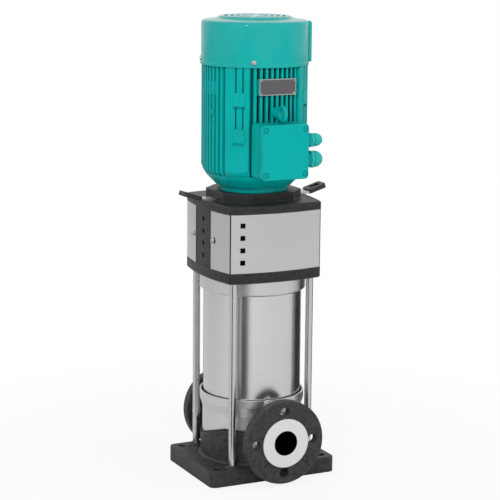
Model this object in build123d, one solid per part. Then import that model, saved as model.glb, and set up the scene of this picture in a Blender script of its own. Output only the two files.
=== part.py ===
from build123d import *
from math import acos, asin, atan, cos, degrees, pi, radians, sin, sqrt, tan
import os

# Vertical multistage in-line pump with a flanged electric motor, in millimetres, +Z up.
# The origin is the centre of the base plate's underside, on the pump shaft's axis.
# The two ports lie on one line along Y: the front port faces -Y and the rear port +Y.

# ---------------------------------------------------------------- clearances
RUNNING_GAP = 0.04        # radial, shaft in bush or bearing seat
ASSEMBLY_GAP = 0.4        # between loose neighbours
SWIVEL_GAP = 0.5          # between a turning flange and the collar it turns on
SOCKET_GAP = 0.3          # radial, sleeve in its sockets
OVERCUT = 1.0             # how far a cutter runs past the face it opens

# ---------------------------------------------------------------- base plate
BASE_LENGTH = 246.0       # along X
BASE_WIDTH = 192.0        # along Y
BASE_HEIGHT = 28.0
BASE_CORNER = 12.0
BASE_WALL = 11.0          # rim of the hollow underside
BASE_DECK = 13.0          # thickness of the top
BASE_EDGE = 2.0           # rounding of the top edge
FOOT_HOLE_RADIUS = 7.0
FOOT_INSET = 19.0         # hole centres from the plate's edges
FOOT_SPACING_X = BASE_LENGTH - 2 * FOOT_INSET
FOOT_SPACING_Y = BASE_WIDTH - 2 * FOOT_INSET
FOOT_BOSS_RADIUS = 16.0
BASE_RIB = 8.0
BASE_RIB_X = 38.0         # long ribs of the underside, from the centre line
PEDESTAL_CORE = 70.0      # radius of the cored pedestal
PEDESTAL_ROOF = 12.0      # metal left over the core

# ---------------------------------------------------------------- tie rods
ROD_RADIUS = 6.5
ROD_SPACING_X = 150.0
ROD_SPACING_Y = 155.0
ROD_BOSS_RADIUS = 13.0
ROD_BOSS_HEIGHT = 3.5
ROD_DEPTH = 20.0          # how far a rod screws into the base
ROD_NUT_ACROSS = 19.0
ROD_NUT_HEIGHT = 10.0
ROD_WASHER_RADIUS = 11.5
ROD_WASHER_HEIGHT = 2.5
ROD_TIP = 2.0             # rod left above its nut

# ---------------------------------------------------------------- ports
PORT_BORE = 22.0          # radius
PORT_RISE = 52.0          # port axis above the plate's top
PORT_HEIGHT = BASE_HEIGHT + PORT_RISE
FACE_TO_FACE = 280.0      # between the two sealing faces
SEALING_RADIUS = 44.0
SEALING_PROUD = 3.0       # sealing face in front of the loose flange
LAP_THICKNESS = 10.0
NECK_RADIUS = 30.0
NECK_ROOT_RADIUS = 46.0
NECK_TAPER_END = 22.0     # length of the straight neck behind the lap
FLANGE_RADIUS = 75.0
FLANGE_THICKNESS = 18.0
FLANGE_CIRCLE = 110.0     # bolt circle diameter
FLANGE_BOLTS = 4
FLANGE_HOLE_RADIUS = 9.0
FLANGE_POCKET = 13.0      # half width of the spot face round a bolt hole
FLANGE_POCKET_DEPTH = 1.5
FLANGE_LEDGE = 2.0        # step in the closing segment beside the lap
FLANGE_LEDGE_WIDTH = 5.0
FLANGE_EDGE = 1.6
SLIT_WIDTH = 1.4
SEGMENT_ANGLE = 90.0
HALF_LAP = 9.0            # length of the tongue behind each slit

# ---------------------------------------------------------------- skirt and foot casing
SKIRT_RADIUS = 92.5
SEAT_RISE = 32.0          # ledge the foot casing stands on, above the plate's top
SKIRT_WRAP = 28.0         # height of the skirt over the ledge
SKIRT_DIP_DEPTH = 20.0
SKIRT_DIP_WIDTH = 63.0    # half width of the dip on each side
SKIRT_DIP_SHIFT = 15.0    # lowest point of the dip, behind the axis
SKIRT_BEAD = 3.0          # bead round the foot of the skirt
SKIRT_SEAT = BASE_HEIGHT + SEAT_RISE
SKIRT_TOP = SKIRT_SEAT + SKIRT_WRAP
PEDESTAL_CORE_TOP = SKIRT_SEAT - PEDESTAL_ROOF
CASING_RADIUS = 89.0
CASING_WALL = 4.0
CASING_FLOOR = 5.0
COLLAR_RADIUS = 94.3
CASING_SIDE = 56.0        # straight side below the flare
FLARE_HEIGHT = 17.0
RIM_HEIGHT = 14.0         # straight rim above the flare
PARTITION_RISE = 62.0     # partition's top above the ledge
PARTITION_THICKNESS = 4.0
SLEEVE_STEP = 12.0        # sleeve's lower end above the partition
COLLAR_FLARE_BOTTOM = SKIRT_SEAT + CASING_SIDE
COLLAR_FLARE_TOP = COLLAR_FLARE_BOTTOM + FLARE_HEIGHT
COLLAR_TOP = COLLAR_FLARE_TOP + RIM_HEIGHT
PARTITION_TOP = SKIRT_SEAT + PARTITION_RISE
SLEEVE_SEAT = PARTITION_TOP + SLEEVE_STEP
ELBOW_WALL = 3.0
EYE_PASSAGE = 20.0        # radius of the upright passage into the first stage
ELBOW_BACK = 18.0         # closed end of the suction passage, past the axis
PASSAGE_COUNT = 8
PASSAGE_RADIUS = 3.2
PLUG_ACROSS = 12.0
PLUG_HEAD = 6.0
PLUG_SHANK_RADIUS = 5.0
PLUG_BOSS_RADIUS = 9.0
PLUG_BOSS_DEPTH = 3.0
DRAIN_DROP = 8.0          # plug's axis below the rim's top
DRAIN_HEIGHT = COLLAR_TOP - DRAIN_DROP
DRAIN_ANGLE = -97.0       # about Z from +X

# ---------------------------------------------------------------- sleeve, head, stages
SLEEVE_RADIUS = 88.1
SLEEVE_WALL = 2.0
SLEEVE_LENGTH = 213.0
O_RING_TUBE = 1.45        # radius of the ring's cord
COLLAR_MOUTH = SLEEVE_RADIUS + 2 * O_RING_TUBE + 2 * SOCKET_GAP
HEAD_RADIUS = 94.8
HEAD_SOCKET = 12.0        # depth of the socket that takes the sleeve
HEAD_HEIGHT = 27.0
HEAD_EDGE = 3.0
HEAD_BOTTOM = SLEEVE_SEAT + SLEEVE_LENGTH - HEAD_SOCKET
STAGE_COUNT = 4
STAGE_PITCH = 40.0
STAGE_RADIUS = 77.0
STAGE_WALL = 2.0
STAGE_PLATE = 2.5
GUIDE_VANES = 8
GUIDE_VANE_THICKNESS = 2.0
GUIDE_SWEEP = 35.0
GUIDE_PLATE_RADIUS = 66.0
IMPELLER_RADIUS = 60.0
IMPELLER_EYE = 20.0
IMPELLER_VANES = 6
IMPELLER_SWEEP = 62.0
IMPELLER_WIDTH = 9.0      # height of the passage between the shrouds
SHROUD = 2.0
VANE_THICKNESS = 2.0
IMPELLER_HUB = 13.0
IMPELLER_LIFT = 3.5       # impeller above the floor of its stage
CLAMP_RING_RADIUS = 72.0
CLAMP_RING_WALL = 4.0
CLAMP_WINDOWS = 6
CLAMP_WINDOW_WIDTH = 30.0

# ---------------------------------------------------------------- pump shaft and seal
PUMP_SHAFT_RADIUS = 8.0
SHAFT_TAIL = 10.0         # shaft below its bush
SHAFT_REACH = 80.0        # shaft above the pump head
BUSH_WALL = 4.0
BUSH_LENGTH = 16.0
SPIDER_HUB = 15.0
SPIDER_ARM = 5.0
SEAL_CHAMBER = 24.0       # radius
SEAL_SEAT_HEIGHT = 8.0
SEAL_RING_RADIUS = 17.0
SEAL_BODY_HEIGHT = 16.0
SEAL_SPRING_TURNS = 4
SEAL_COVER_RADIUS = 40.0
SEAL_COVER_HEIGHT = 8.0

# ---------------------------------------------------------------- lantern
LANTERN_LENGTH = 177.2    # corner to corner along X
LANTERN_WIDTH = 182.8     # corner to corner along Y
LANTERN_BULGE = 11.0      # rise of each curved side over its chord
LANTERN_CORNER = 4.0
LANTERN_FOOT = 18.6       # thickness of the bottom plate
LANTERN_WINDOW = 103.9    # free height between the plates
LANTERN_ROOF = 14.0       # thickness of the top plate
LANTERN_BOTTOM = HEAD_BOTTOM + HEAD_HEIGHT
LANTERN_ROOF_BOTTOM = LANTERN_BOTTOM + LANTERN_FOOT + LANTERN_WINDOW
LANTERN_TOP = LANTERN_ROOF_BOTTOM + LANTERN_ROOF
LANTERN_WALL = 9.0
LANTERN_WALL_SPAN = 104.0 # length of each side wall along Y
LANTERN_EDGE = 2.0
LANTERN_BORE = 41.0
COLLAR_FLAT_X = 76.0      # motor collar, centre to flat
COLLAR_FLAT_Y = 68.0
COLLAR_CHAMFER = 31.0
COLLAR_HEIGHT = 15.5
COLLAR_INSIDE = 61.5

# ---------------------------------------------------------------- guards
GUARD_THICKNESS = 1.2
GUARD_INSET = 0.6         # guard's face behind the plates' edge
GUARD_HALF_GAP = 32.0     # from the centre line to a guard's free edge
VENT_SQUARE = 8.6
VENT_PITCH = 21.7
VENT_ROWS = 4
VENT_X = 66.0             # vent column on the guard, from the centre line
VENT_CENTRE = LANTERN_ROOF_BOTTOM - LANTERN_WINDOW / 2
GUARD_SCREW_RADIUS = 2.5
GUARD_SCREW_HEAD = 4.2
GUARD_SCREW_HEAD_HEIGHT = 2.6
GUARD_WASHER_RADIUS = 6.0
GUARD_WASHER_HEIGHT = 1.0
GUARD_SCREW_Y = 40.0
GUARD_SCREW_LENGTH = 9.0

# ---------------------------------------------------------------- lifting straps
STRAP_WIDTH = 26.0
STRAP_THICKNESS = 3.5
STRAP_START = 77.0        # inner end, from the axis
STRAP_BEND = 99.0         # where it turns up
STRAP_ANGLE = 17.0
STRAP_RUN = 20.0          # inclined length of bare strap and tongue
TONGUE_WIDTH = 14.0
GRIP_START = 8.0          # grip's inner end, along the incline from the bend
GRIP_LENGTH = 35.0
GRIP_WIDTH = 28.0
GRIP_THICKNESS = 8.0
GRIP_SLOT_LENGTH = 19.0
GRIP_SLOT_WIDTH = 13.0
GRIP_CORNER = 4.0
STRAP_SCREW_X = 88.5
STRAP_SCREW_RADIUS = 3.0
STRAP_SCREW_HEAD = 6.0
STRAP_SCREW_DEPTH = 9.0

# ---------------------------------------------------------------- coupling
COUPLING_RADIUS = 30.0
COUPLING_LENGTH = 86.0
COUPLING_DROP = 8.5       # coupling's top below the motor's seat
COUPLING_TOP = LANTERN_TOP - COUPLING_DROP
COUPLING_BOTTOM = COUPLING_TOP - COUPLING_LENGTH
COUPLING_SLIT = 1.5
COUPLING_SCREW_X = 20.0
COUPLING_SCREW_INSET = 16.0
COUPLING_SCREW_RADIUS = 3.0
COUPLING_SCREW_HEAD = 5.0

# ---------------------------------------------------------------- motor
MOTOR_SHAFT_RADIUS = 9.5
MOTOR_SHAFT_LENGTH = 40.0 # free end below the seat
SHAFT_CHAMFER = 0.5
BEARING_BORE = 12.5
BEARING_OUTSIDE = 26.0
BEARING_WIDTH = 15.0
BEARING_RACE = 4.0
BEARING_SHOULDER = 2.0    # shaft's step beside a bearing
BEARING_RISE = 21.5       # lower bearing above the motor's seat
SHAFT_GAP = 4.0           # radial, shield round the shaft
DRIVE_BEARING_BOTTOM = LANTERN_TOP + BEARING_RISE
SPIGOT_RADIUS = 40.0
SPIGOT_DEPTH = 3.0
MOTOR_FLANGE_RADIUS = 60.0
MOTOR_FLANGE_CIRCLE = 100.0
MOTOR_BOLT_RADIUS = 4.0
MOTOR_BOLT_HEAD = 6.5
MOTOR_BOLT_HEAD_HEIGHT = 5.3
MOTOR_BOLT_GRIP = 12.0    # thread in the shield
SHIELD_RISE = 24.5        # shield's rim above the motor's seat
SHIELD_HEIGHT = 22.0
SHIELD_RIM_RADIUS = 67.0
SHIELD_TOP_RADIUS = 87.0
SHIELD_RIM_BOTTOM = LANTERN_TOP + SHIELD_RISE
SHIELD_TOP = SHIELD_RIM_BOTTOM + SHIELD_HEIGHT
SHIELD_WALL = 6.0
SHIELD_EDGE = 4.0
FRAME_LENGTH = 195.0
FRAME_TOP = SHIELD_TOP + FRAME_LENGTH
FRAME_RADIUS = 91.0       # over the fin tips
FRAME_ROOT = 74.0
FRAME_BORE = 64.0
FIN_PITCH = 9.6
FIN_THICKNESS = 4.2
FINS_PER_SIDE = 9
PAD_DISTANCE = 92.0       # axis to the flat of a corner pad
PAD_HALF_WIDTH = 22.5
PAD_CORNER = 3.0
PAD_REACH = 95.5          # pads' corners, from the axis
FRAME_LEAD = 14.0         # tapered lower end of fins and pads
PAD_GROOVES = (-2.0, 11.0)
PAD_GROOVE_WIDTH = 2.8
PAD_GROOVE_DEPTH = 5.0
PAD_BLOCKS = (72.0, 135.0)  # lower edges of the foot bosses, below the frame's top
PAD_BLOCK_HEIGHT = 24.0
PAD_BLOCK_PROUD = 1.2
PAD_BLOCK_LOW = -6.5      # sides of a foot boss, across the pad
PAD_BLOCK_HIGH = 14.5
PAD_UNDERCUT = 5.0        # recess below a foot boss
BRIDGE_DROP = 42.5        # middle of the bridge across the side fins, below the frame's top
BRIDGE_HEIGHT = 23.0
BRIDGE_HALF_WIDTH = 24.0
BRIDGE_INSET = 1.6        # bridge's face behind the fin tips
PLUG_SEAT_DROP = 85.0     # blank threaded boss, below the frame's top
PLUG_SEAT_Y = -15.0
PLUG_SEAT_RADIUS = 5.5
PLUG_SEAT_PROUD = 1.0
PLUG_SEAT_BORE = 2.6
PLUG_SEAT_SINK = 5.0
STATOR_BORE = 39.0
STATOR_RISE = 43.0        # core above the frame's lower end
STATOR_LENGTH = 104.0
STATOR_BOTTOM = SHIELD_TOP + STATOR_RISE
STATOR_TOP = STATOR_BOTTOM + STATOR_LENGTH
STATOR_SLOTS = 24
STATOR_YOKE = 8.0         # iron behind the slots
STATOR_SLOT_WIDTH = 3.6
WINDING_GAP = 4.0
WINDING_EDGE = 4.0
WINDING_REACH = 20.0
ROTOR_AIR_GAP = 0.5
ROTOR_RING = 6.0
ROTOR_OVERHANG = 8.0
FAN_SHIELD_HEIGHT = 16.0
FAN_SHIELD_RADIUS = 88.0
FAN_SHIELD_RIM = 10.0     # straight rim of the fan-end shield
FAN_SHIELD_SLOPE = 6.0
BEARING_SINK = 5.0        # upper bearing below the frame's top
FAN_SHIELD_TOP = FRAME_TOP + FAN_SHIELD_HEIGHT
FAN_BEARING_BOTTOM = FRAME_TOP - BEARING_SINK

# ---------------------------------------------------------------- fan and cowl
FAN_RADIUS = 76.0
FAN_GAP = 8.0             # above the fan-end shield
FAN_HEIGHT = 30.0
FAN_BOTTOM = FAN_SHIELD_TOP + FAN_GAP
FAN_TOP = FAN_BOTTOM + FAN_HEIGHT
FAN_HUB_DROP = 8.0        # hub's top below the blades'
FAN_SCOOP = 10.0          # notch in the blades over the hub
FAN_BLADES = 9
FAN_BLADE_THICKNESS = 2.5
FAN_HUB = 18.0
FAN_DISC = 3.0
FAN_SEAT_RADIUS = 9.0
COWL_RADIUS = 94.4
COWL_WALL = 1.8
COWL_LAP = 5.0            # cowl's lower edge below the frame's top
COWL_CLEARANCE = 18.3     # shoulder above the fan
COWL_SHOULDER_ROUND = 6.5
COWL_DOME_RISE = 2.7
COWL_DISC_RISE = 4.0
COWL_HEM = 1.0            # rolled lower edge
COWL_HEM_HEIGHT = 6.0
COWL_BOTTOM = FRAME_TOP - COWL_LAP
COWL_SHOULDER = FAN_TOP + COWL_CLEARANCE
COWL_DOME_RADIUS = 68.0   # where the shoulder meets the raised disc
COWL_DISC_RADIUS = 61.5
COWL_DOME_TOP = COWL_SHOULDER + COWL_DOME_RISE
COWL_DISC_TOP = COWL_DOME_TOP + COWL_DISC_RISE
COWL_SLOT_RINGS = 4
COWL_SLOT_PITCH = 11.0
COWL_SLOT_FIRST = 19.0
COWL_SLOT_WIDTH = 4.6
COWL_SPOKES = 6
COWL_SPOKE_WIDTH = 6.0
COWL_RIB_ANGLE = -26.7
COWL_RIB_RADIUS = 5.6
COWL_RIB_MARGIN = 1.5     # rib's top below the shoulder
COWL_RIB_START = 5.0      # rib's foot above the cowl's lower edge
COWL_RIB_BOTTOM = COWL_BOTTOM + COWL_RIB_START
COWL_RIB_TOP = COWL_SHOULDER - COWL_RIB_MARGIN
COWL_SCREW_RISE = 4.0     # above the frame's top
COWL_SCREW_HEIGHT = FRAME_TOP + COWL_SCREW_RISE
COWL_SCREW_ANGLES = (-116.7, 63.3, 153.3)
COWL_SCREW_RADIUS = 2.5
COWL_SCREW_GRIP = 8.0     # length of screw inside the shield
COWL_SCREW_HEAD = 4.6
COWL_SCREW_HEAD_HEIGHT = 2.2

# ---------------------------------------------------------------- terminal box
BOX_HALF_WIDTH = 44.5
BOX_RISE = 0.5            # box above the frame's lower end
BOX_HEIGHT = 95.5
BOX_BACK = 82.0           # distance of its back from the axis
BOX_DEPTH = 30.0
COVER_DEPTH = 14.0
COVER_ROUND = 2.5
COVER_COUNTERBORE = 1.5
BOX_BOTTOM = SHIELD_TOP + BOX_RISE
BOX_TOP = BOX_BOTTOM + BOX_HEIGHT
BOX_SPLIT = BOX_BACK + BOX_DEPTH
BOX_FRONT = BOX_SPLIT + COVER_DEPTH
BOX_WALL = 4.0
BOX_CORNER = 7.0
BOX_SCREW_X = 38.0
BOX_SCREW_MARGIN = 9.0
BOX_SCREW_RADIUS = 2.4
BOX_SCREW_HEAD = 4.0
BOX_SCREW_HEAD_HEIGHT = 2.5
BOX_SCREW_HEAD_ROOM = 1.0
BOX_SCREW_GRIP = 11.0
BOX_SCREW_HOLE = 12.0
BOX_NECK_HALF_WIDTH = 30.0
BOX_NECK_HALF_HEIGHT = 34.0
GLAND_SETBACK = 13.0      # gland axis behind the cover's joint
GLAND_DISTANCE = BOX_SPLIT - GLAND_SETBACK
UPPER_GLAND_RISE = 63.5   # above the box's lower side
LOWER_GLAND_RISE = 30.0
UPPER_GLAND_RADIUS = 12.5
LOWER_GLAND_RADIUS = 15.5
GLAND_BOSS_LENGTH = 13.0
GLAND_BOSS_EXTRA = 3.0
GLAND_HEX_LENGTH = 7.0
GLAND_DOME_LENGTH = 17.0
GLAND_DISC_RADIUS = 0.42  # closing disc as a share of the body radius
BOARD_HALF_WIDTH = 20.0
BOARD_HALF_HEIGHT = 26.0
BOARD_THICKNESS = 8.0
STUD_RADIUS = 2.5
STUD_HEIGHT = 9.0

# ---------------------------------------------------------------- plate and lifting eye
PLATE_HALF_WIDTH = 35.0
PLATE_HALF_HEIGHT = 14.0
PLATE_THICKNESS = 0.8
PLATE_DROP = 38.0         # plate's middle below the frame's top
PLATE_DISTANCE = 91.0
PLATE_HEIGHT = FRAME_TOP - PLATE_DROP
EYE_RISE = 16.5           # eye's axis above the box
EYE_HEIGHT = BOX_TOP + EYE_RISE
EYE_BOSS_RADIUS = 10.0
EYE_BOSS_REACH = 95.0
EYE_RING_RADIUS = 11.5
EYE_TUBE = 3.8
EYE_COLLAR_RADIUS = 9.0
EYE_COLLAR_HEIGHT = 3.0
EYE_SHANK_RADIUS = 4.0
EYE_SHANK_LENGTH = 12.0
EYE_NECK = 1.0            # neck's radius over the ring's


# ================================================================ helpers
def column(radius, bottom, top, x=0.0, y=0.0):
    """Upright cylinder between two heights."""
    return Pos(x, y, (bottom + top) / 2) * Cylinder(radius, top - bottom)


def tube(outer, inner, bottom, top, x=0.0, y=0.0):
    """Upright round tube between two heights."""
    return column(outer, bottom, top, x, y) - column(inner, bottom - OVERCUT, top + OVERCUT, x, y)


def block(x_low, x_high, y_low, y_high, z_low, z_high):
    """Box between two corners."""
    centre = Pos((x_low + x_high) / 2, (y_low + y_high) / 2, (z_low + z_high) / 2)
    return centre * Box(x_high - x_low, y_high - y_low, z_high - z_low)


def turned(points):
    """Solid of revolution about Z from a closed outline of (radius, height) points."""
    outline = make_face(Plane.XZ * Polyline(*points, close=True))
    return revolve(outline, Axis.Z)


def upright(shape, bottom, top):
    """Flat outline pulled up between two heights."""
    return extrude(Pos(0, 0, bottom) * shape, top - bottom)


def around(shape, angle):
    """Copy turned about Z."""
    return Rot(0, 0, angle) * shape


def outward(shape, angle, height):
    """Shape built along +Z, laid so that +Z points away from the axis at an angle."""
    return Pos(0, 0, height) * Rot(0, 0, angle) * Rot(0, 90, 0) * shape


def at_port(shape, side):
    """Shape built along +Z from the pump axis, laid along the front or the rear port."""
    turn = 0.0 if side == "front" else 180.0
    return Rot(0, 0, turn) * Pos(0, 0, PORT_HEIGHT) * Rot(90, 0, 0) * shape


def corners(spacing_x, spacing_y):
    """Centres of a rectangle of four places."""
    half_x = spacing_x / 2
    half_y = spacing_y / 2
    return [(-half_x, -half_y), (half_x, -half_y), (half_x, half_y), (-half_x, half_y)]


def hexagon_prism(across, bottom, top, x=0.0, y=0.0):
    """Upright hexagonal prism, given its size across the flats."""
    outline = RegularPolygon(across / 2, 6, major_radius=False)
    return Pos(x, y, 0) * upright(outline, bottom, top)


def fuse(shapes):
    """Union of a list of shapes."""
    whole = shapes[0]
    for shape in shapes[1:]:
        whole = whole + shape
    return whole


def group(shapes):
    """Separate solids kept side by side in one part."""
    return Compound(children=[Compound(list(shape.solids())) for shape in shapes])


def save(name, shape):
    """Write one part."""
    export_step(shape, f"parts/{name}.step")


def bulged_outline(inset=0.0):
    """Square outline with four gently bulging sides, set in by a distance."""
    half_x = LANTERN_LENGTH / 2 - inset
    half_y = LANTERN_WIDTH / 2 - inset
    bulge = LANTERN_BULGE
    front = ThreePointArc((-half_x, -half_y), (0, -half_y - bulge), (half_x, -half_y))
    right = ThreePointArc((half_x, -half_y), (half_x + bulge, 0), (half_x, half_y))
    back = ThreePointArc((half_x, half_y), (0, half_y + bulge), (-half_x, half_y))
    left = ThreePointArc((-half_x, half_y), (-half_x - bulge, 0), (-half_x, -half_y))
    return make_face([front, right, back, left])


def rounded(face, radius):
    """Outline with its corners rounded."""
    return fillet(face.vertices(), radius)


# ================================================================ base plate
def base_plate():
    """Hollow cast plate with the round skirt that carries the foot casing."""
    outline = RectangleRounded(BASE_LENGTH, BASE_WIDTH, BASE_CORNER)
    plate = upright(outline, 0, BASE_HEIGHT)
    plate = fillet(plate.faces().sort_by(Axis.Z)[-1].edges(), BASE_EDGE)
    hollow_outline = RectangleRounded(
        BASE_LENGTH - 2 * BASE_WALL, BASE_WIDTH - 2 * BASE_WALL, BASE_CORNER / 2)
    hollow = upright(hollow_outline, -OVERCUT, BASE_HEIGHT - BASE_DECK)
    for x, y in corners(FOOT_SPACING_X, FOOT_SPACING_Y):
        hollow = hollow - column(FOOT_BOSS_RADIUS, -2 * OVERCUT, BASE_HEIGHT, x, y)
    for x, y in corners(ROD_SPACING_X, ROD_SPACING_Y):
        hollow = hollow - column(ROD_BOSS_RADIUS, -2 * OVERCUT, BASE_HEIGHT, x, y)
    hollow = hollow + column(PEDESTAL_CORE, -OVERCUT, PEDESTAL_CORE_TOP)
    half_rib = BASE_RIB / 2
    for x in (-BASE_RIB_X, BASE_RIB_X):
        hollow = hollow - block(x - half_rib, x + half_rib, -BASE_WIDTH, BASE_WIDTH, -2 * OVERCUT, SKIRT_SEAT)
    hollow = hollow - block(-BASE_LENGTH, BASE_LENGTH, -half_rib, half_rib, -2 * OVERCUT, SKIRT_SEAT)

    bead_top = BASE_HEIGHT + SKIRT_BEAD
    skirt_profile = [
        (0, BASE_HEIGHT - BASE_DECK / 2),
        (SKIRT_RADIUS + SKIRT_BEAD, BASE_HEIGHT - BASE_DECK / 2),
        (SKIRT_RADIUS + SKIRT_BEAD, BASE_HEIGHT + SKIRT_BEAD / 3),
        (SKIRT_RADIUS, bead_top),
        (SKIRT_RADIUS, SKIRT_TOP),
        (CASING_RADIUS + ASSEMBLY_GAP, SKIRT_TOP),
        (CASING_RADIUS + ASSEMBLY_GAP, SKIRT_SEAT),
        (0, SKIRT_SEAT),
    ]
    skirt = turned(skirt_profile)
    dip_radius = (SKIRT_DIP_WIDTH ** 2 + SKIRT_DIP_DEPTH ** 2) / (2 * SKIRT_DIP_DEPTH)
    dip_cutter = Rot(0, 90, 0) * Cylinder(dip_radius, 3 * SKIRT_RADIUS)
    dip_centre = SKIRT_TOP - SKIRT_DIP_DEPTH + dip_radius
    skirt = skirt - Pos(0, SKIRT_DIP_SHIFT, dip_centre) * dip_cutter
    neck_room = NECK_ROOT_RADIUS + ASSEMBLY_GAP
    neck_cutter = Pos(0, 0, PORT_HEIGHT) * Rot(90, 0, 0) * Cylinder(neck_room, 3 * SKIRT_RADIUS)
    skirt = skirt - (neck_cutter - column(CASING_RADIUS - ASSEMBLY_GAP, 0, 2 * PORT_HEIGHT))
    plate = plate + skirt
    plate = plate - hollow

    for x, y in corners(ROD_SPACING_X, ROD_SPACING_Y):
        top_of_boss = BASE_HEIGHT + ROD_BOSS_HEIGHT
        boss = Pos(x, y, (BASE_HEIGHT + top_of_boss) / 2) * Cone(
            ROD_BOSS_RADIUS, ROD_BOSS_RADIUS - ROD_BOSS_HEIGHT, ROD_BOSS_HEIGHT)
        plate = plate + boss
        plate = plate - column(ROD_RADIUS, rod_bottom(), top_of_boss + OVERCUT, x, y)
    for x, y in corners(FOOT_SPACING_X, FOOT_SPACING_Y):
        plate = plate - column(FOOT_HOLE_RADIUS, -OVERCUT, BASE_HEIGHT + OVERCUT, x, y)
    return plate


def rod_bottom():
    """Lower end of the tie rods."""
    return BASE_HEIGHT + ROD_BOSS_HEIGHT - ROD_DEPTH


# ================================================================ foot casing and ports
def foot_casing():
    """Stainless casing with suction elbow, discharge chamber and flared collar."""
    inner = CASING_RADIUS - CASING_WALL
    profile = [
        (0, SKIRT_SEAT),
        (CASING_RADIUS, SKIRT_SEAT),
        (CASING_RADIUS, COLLAR_FLARE_BOTTOM),
        (COLLAR_RADIUS, COLLAR_FLARE_TOP),
        (COLLAR_RADIUS, COLLAR_TOP),
        (COLLAR_MOUTH, COLLAR_TOP),
        (COLLAR_MOUTH, SLEEVE_SEAT + 2 * O_RING_TUBE),
        (SLEEVE_RADIUS + SOCKET_GAP, SLEEVE_SEAT + 2 * O_RING_TUBE),
        (SLEEVE_RADIUS + SOCKET_GAP, SLEEVE_SEAT),
        (inner, SLEEVE_SEAT),
        (inner, PARTITION_TOP),
        (0, PARTITION_TOP),
    ]
    shell = turned(profile)
    chamber = column(inner, SKIRT_SEAT + CASING_FLOOR, PARTITION_TOP - PARTITION_THICKNESS)
    elbow = column(EYE_PASSAGE + ELBOW_WALL, PORT_HEIGHT, PARTITION_TOP)
    suction_pipe = column(PORT_BORE + ELBOW_WALL, -ELBOW_BACK - ELBOW_WALL, inner + OVERCUT)
    elbow = elbow + at_port(suction_pipe, "rear")
    shell = shell - (chamber - elbow)
    eye = column(EYE_PASSAGE, PORT_HEIGHT, PARTITION_TOP + OVERCUT)
    hub_bottom = PARTITION_TOP - BUSH_LENGTH
    spider = column(SPIDER_HUB, hub_bottom, PARTITION_TOP + OVERCUT)
    for turn in (90, 210, 330):
        arm = block(0, EYE_PASSAGE + ELBOW_WALL / 2, -SPIDER_ARM / 2, SPIDER_ARM / 2,
                    hub_bottom, PARTITION_TOP)
        spider = spider + around(arm, turn)
    shell = shell - (eye - spider)
    shell = shell - column(PUMP_SHAFT_RADIUS + BUSH_WALL, PORT_HEIGHT, PARTITION_TOP + 2 * OVERCUT)
    shell = shell - at_port(column(PORT_BORE, -ELBOW_BACK, CASING_RADIUS + OVERCUT), "rear")
    discharge = column(PORT_BORE, inner - CASING_WALL, CASING_RADIUS + OVERCUT)
    shell = shell - at_port(discharge, "front")
    passage_circle = (STAGE_RADIUS + inner) / 2
    for index in range(PASSAGE_COUNT):
        angle = radians(360 * (index + 0.5) / PASSAGE_COUNT)
        x = passage_circle * cos(angle)
        y = passage_circle * sin(angle)
        low = PARTITION_TOP - PARTITION_THICKNESS - OVERCUT
        shell = shell - column(PASSAGE_RADIUS, low, PARTITION_TOP + OVERCUT, x, y)
    plug_boss = outward(Pos(0, 0, plug_seat() / 2) * Cylinder(PLUG_BOSS_RADIUS, plug_seat()),
                        DRAIN_ANGLE, DRAIN_HEIGHT)
    shell = shell + (plug_boss - column(COLLAR_MOUTH, PARTITION_TOP, COLLAR_TOP + SLEEVE_STEP))
    shell = shell - plug_hole(DRAIN_ANGLE, DRAIN_HEIGHT)
    return shell


def plug_seat():
    """Distance of a plug's seat from the axis."""
    return COLLAR_RADIUS + PLUG_BOSS_DEPTH


def plug_hole(angle, height):
    """Cutter for the hole that takes a plug."""
    length = 2 * (plug_seat() - COLLAR_MOUTH)
    return outward(Pos(0, 0, plug_seat()) * Cylinder(PLUG_SHANK_RADIUS, length), angle, height)


def plug(angle, height):
    """Hexagon-headed screw plug."""
    head = hexagon_prism(PLUG_ACROSS, plug_seat(), plug_seat() + PLUG_HEAD)
    shank = column(PLUG_SHANK_RADIUS, COLLAR_MOUTH + ASSEMBLY_GAP, plug_seat())
    return outward(head + shank, angle, height)


def lap_collar(side):
    """Tapered neck with the sealing collar that the loose flange turns on."""
    face = FACE_TO_FACE / 2
    back = face - LAP_THICKNESS
    taper_end = back - NECK_TAPER_END + LAP_THICKNESS
    profile = [
        (PORT_BORE, 0),
        (NECK_ROOT_RADIUS, 0),
        (NECK_ROOT_RADIUS, CASING_RADIUS - CASING_WALL),
        (NECK_RADIUS + SWIVEL_GAP, taper_end - 2 * SWIVEL_GAP),
        (NECK_RADIUS, taper_end),
        (NECK_RADIUS, back),
        (SEALING_RADIUS, back),
        (SEALING_RADIUS, face),
        (PORT_BORE, face),
    ]
    neck = at_port(turned(profile), side)
    body = column(CASING_RADIUS, PORT_HEIGHT - 2 * NECK_ROOT_RADIUS, PORT_HEIGHT + 2 * NECK_ROOT_RADIUS)
    flare = Pos(0, 0, COLLAR_FLARE_BOTTOM + FLARE_HEIGHT / 2) * Cone(
        CASING_RADIUS, COLLAR_RADIUS, FLARE_HEIGHT)
    neck = neck - body
    return neck - flare


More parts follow.
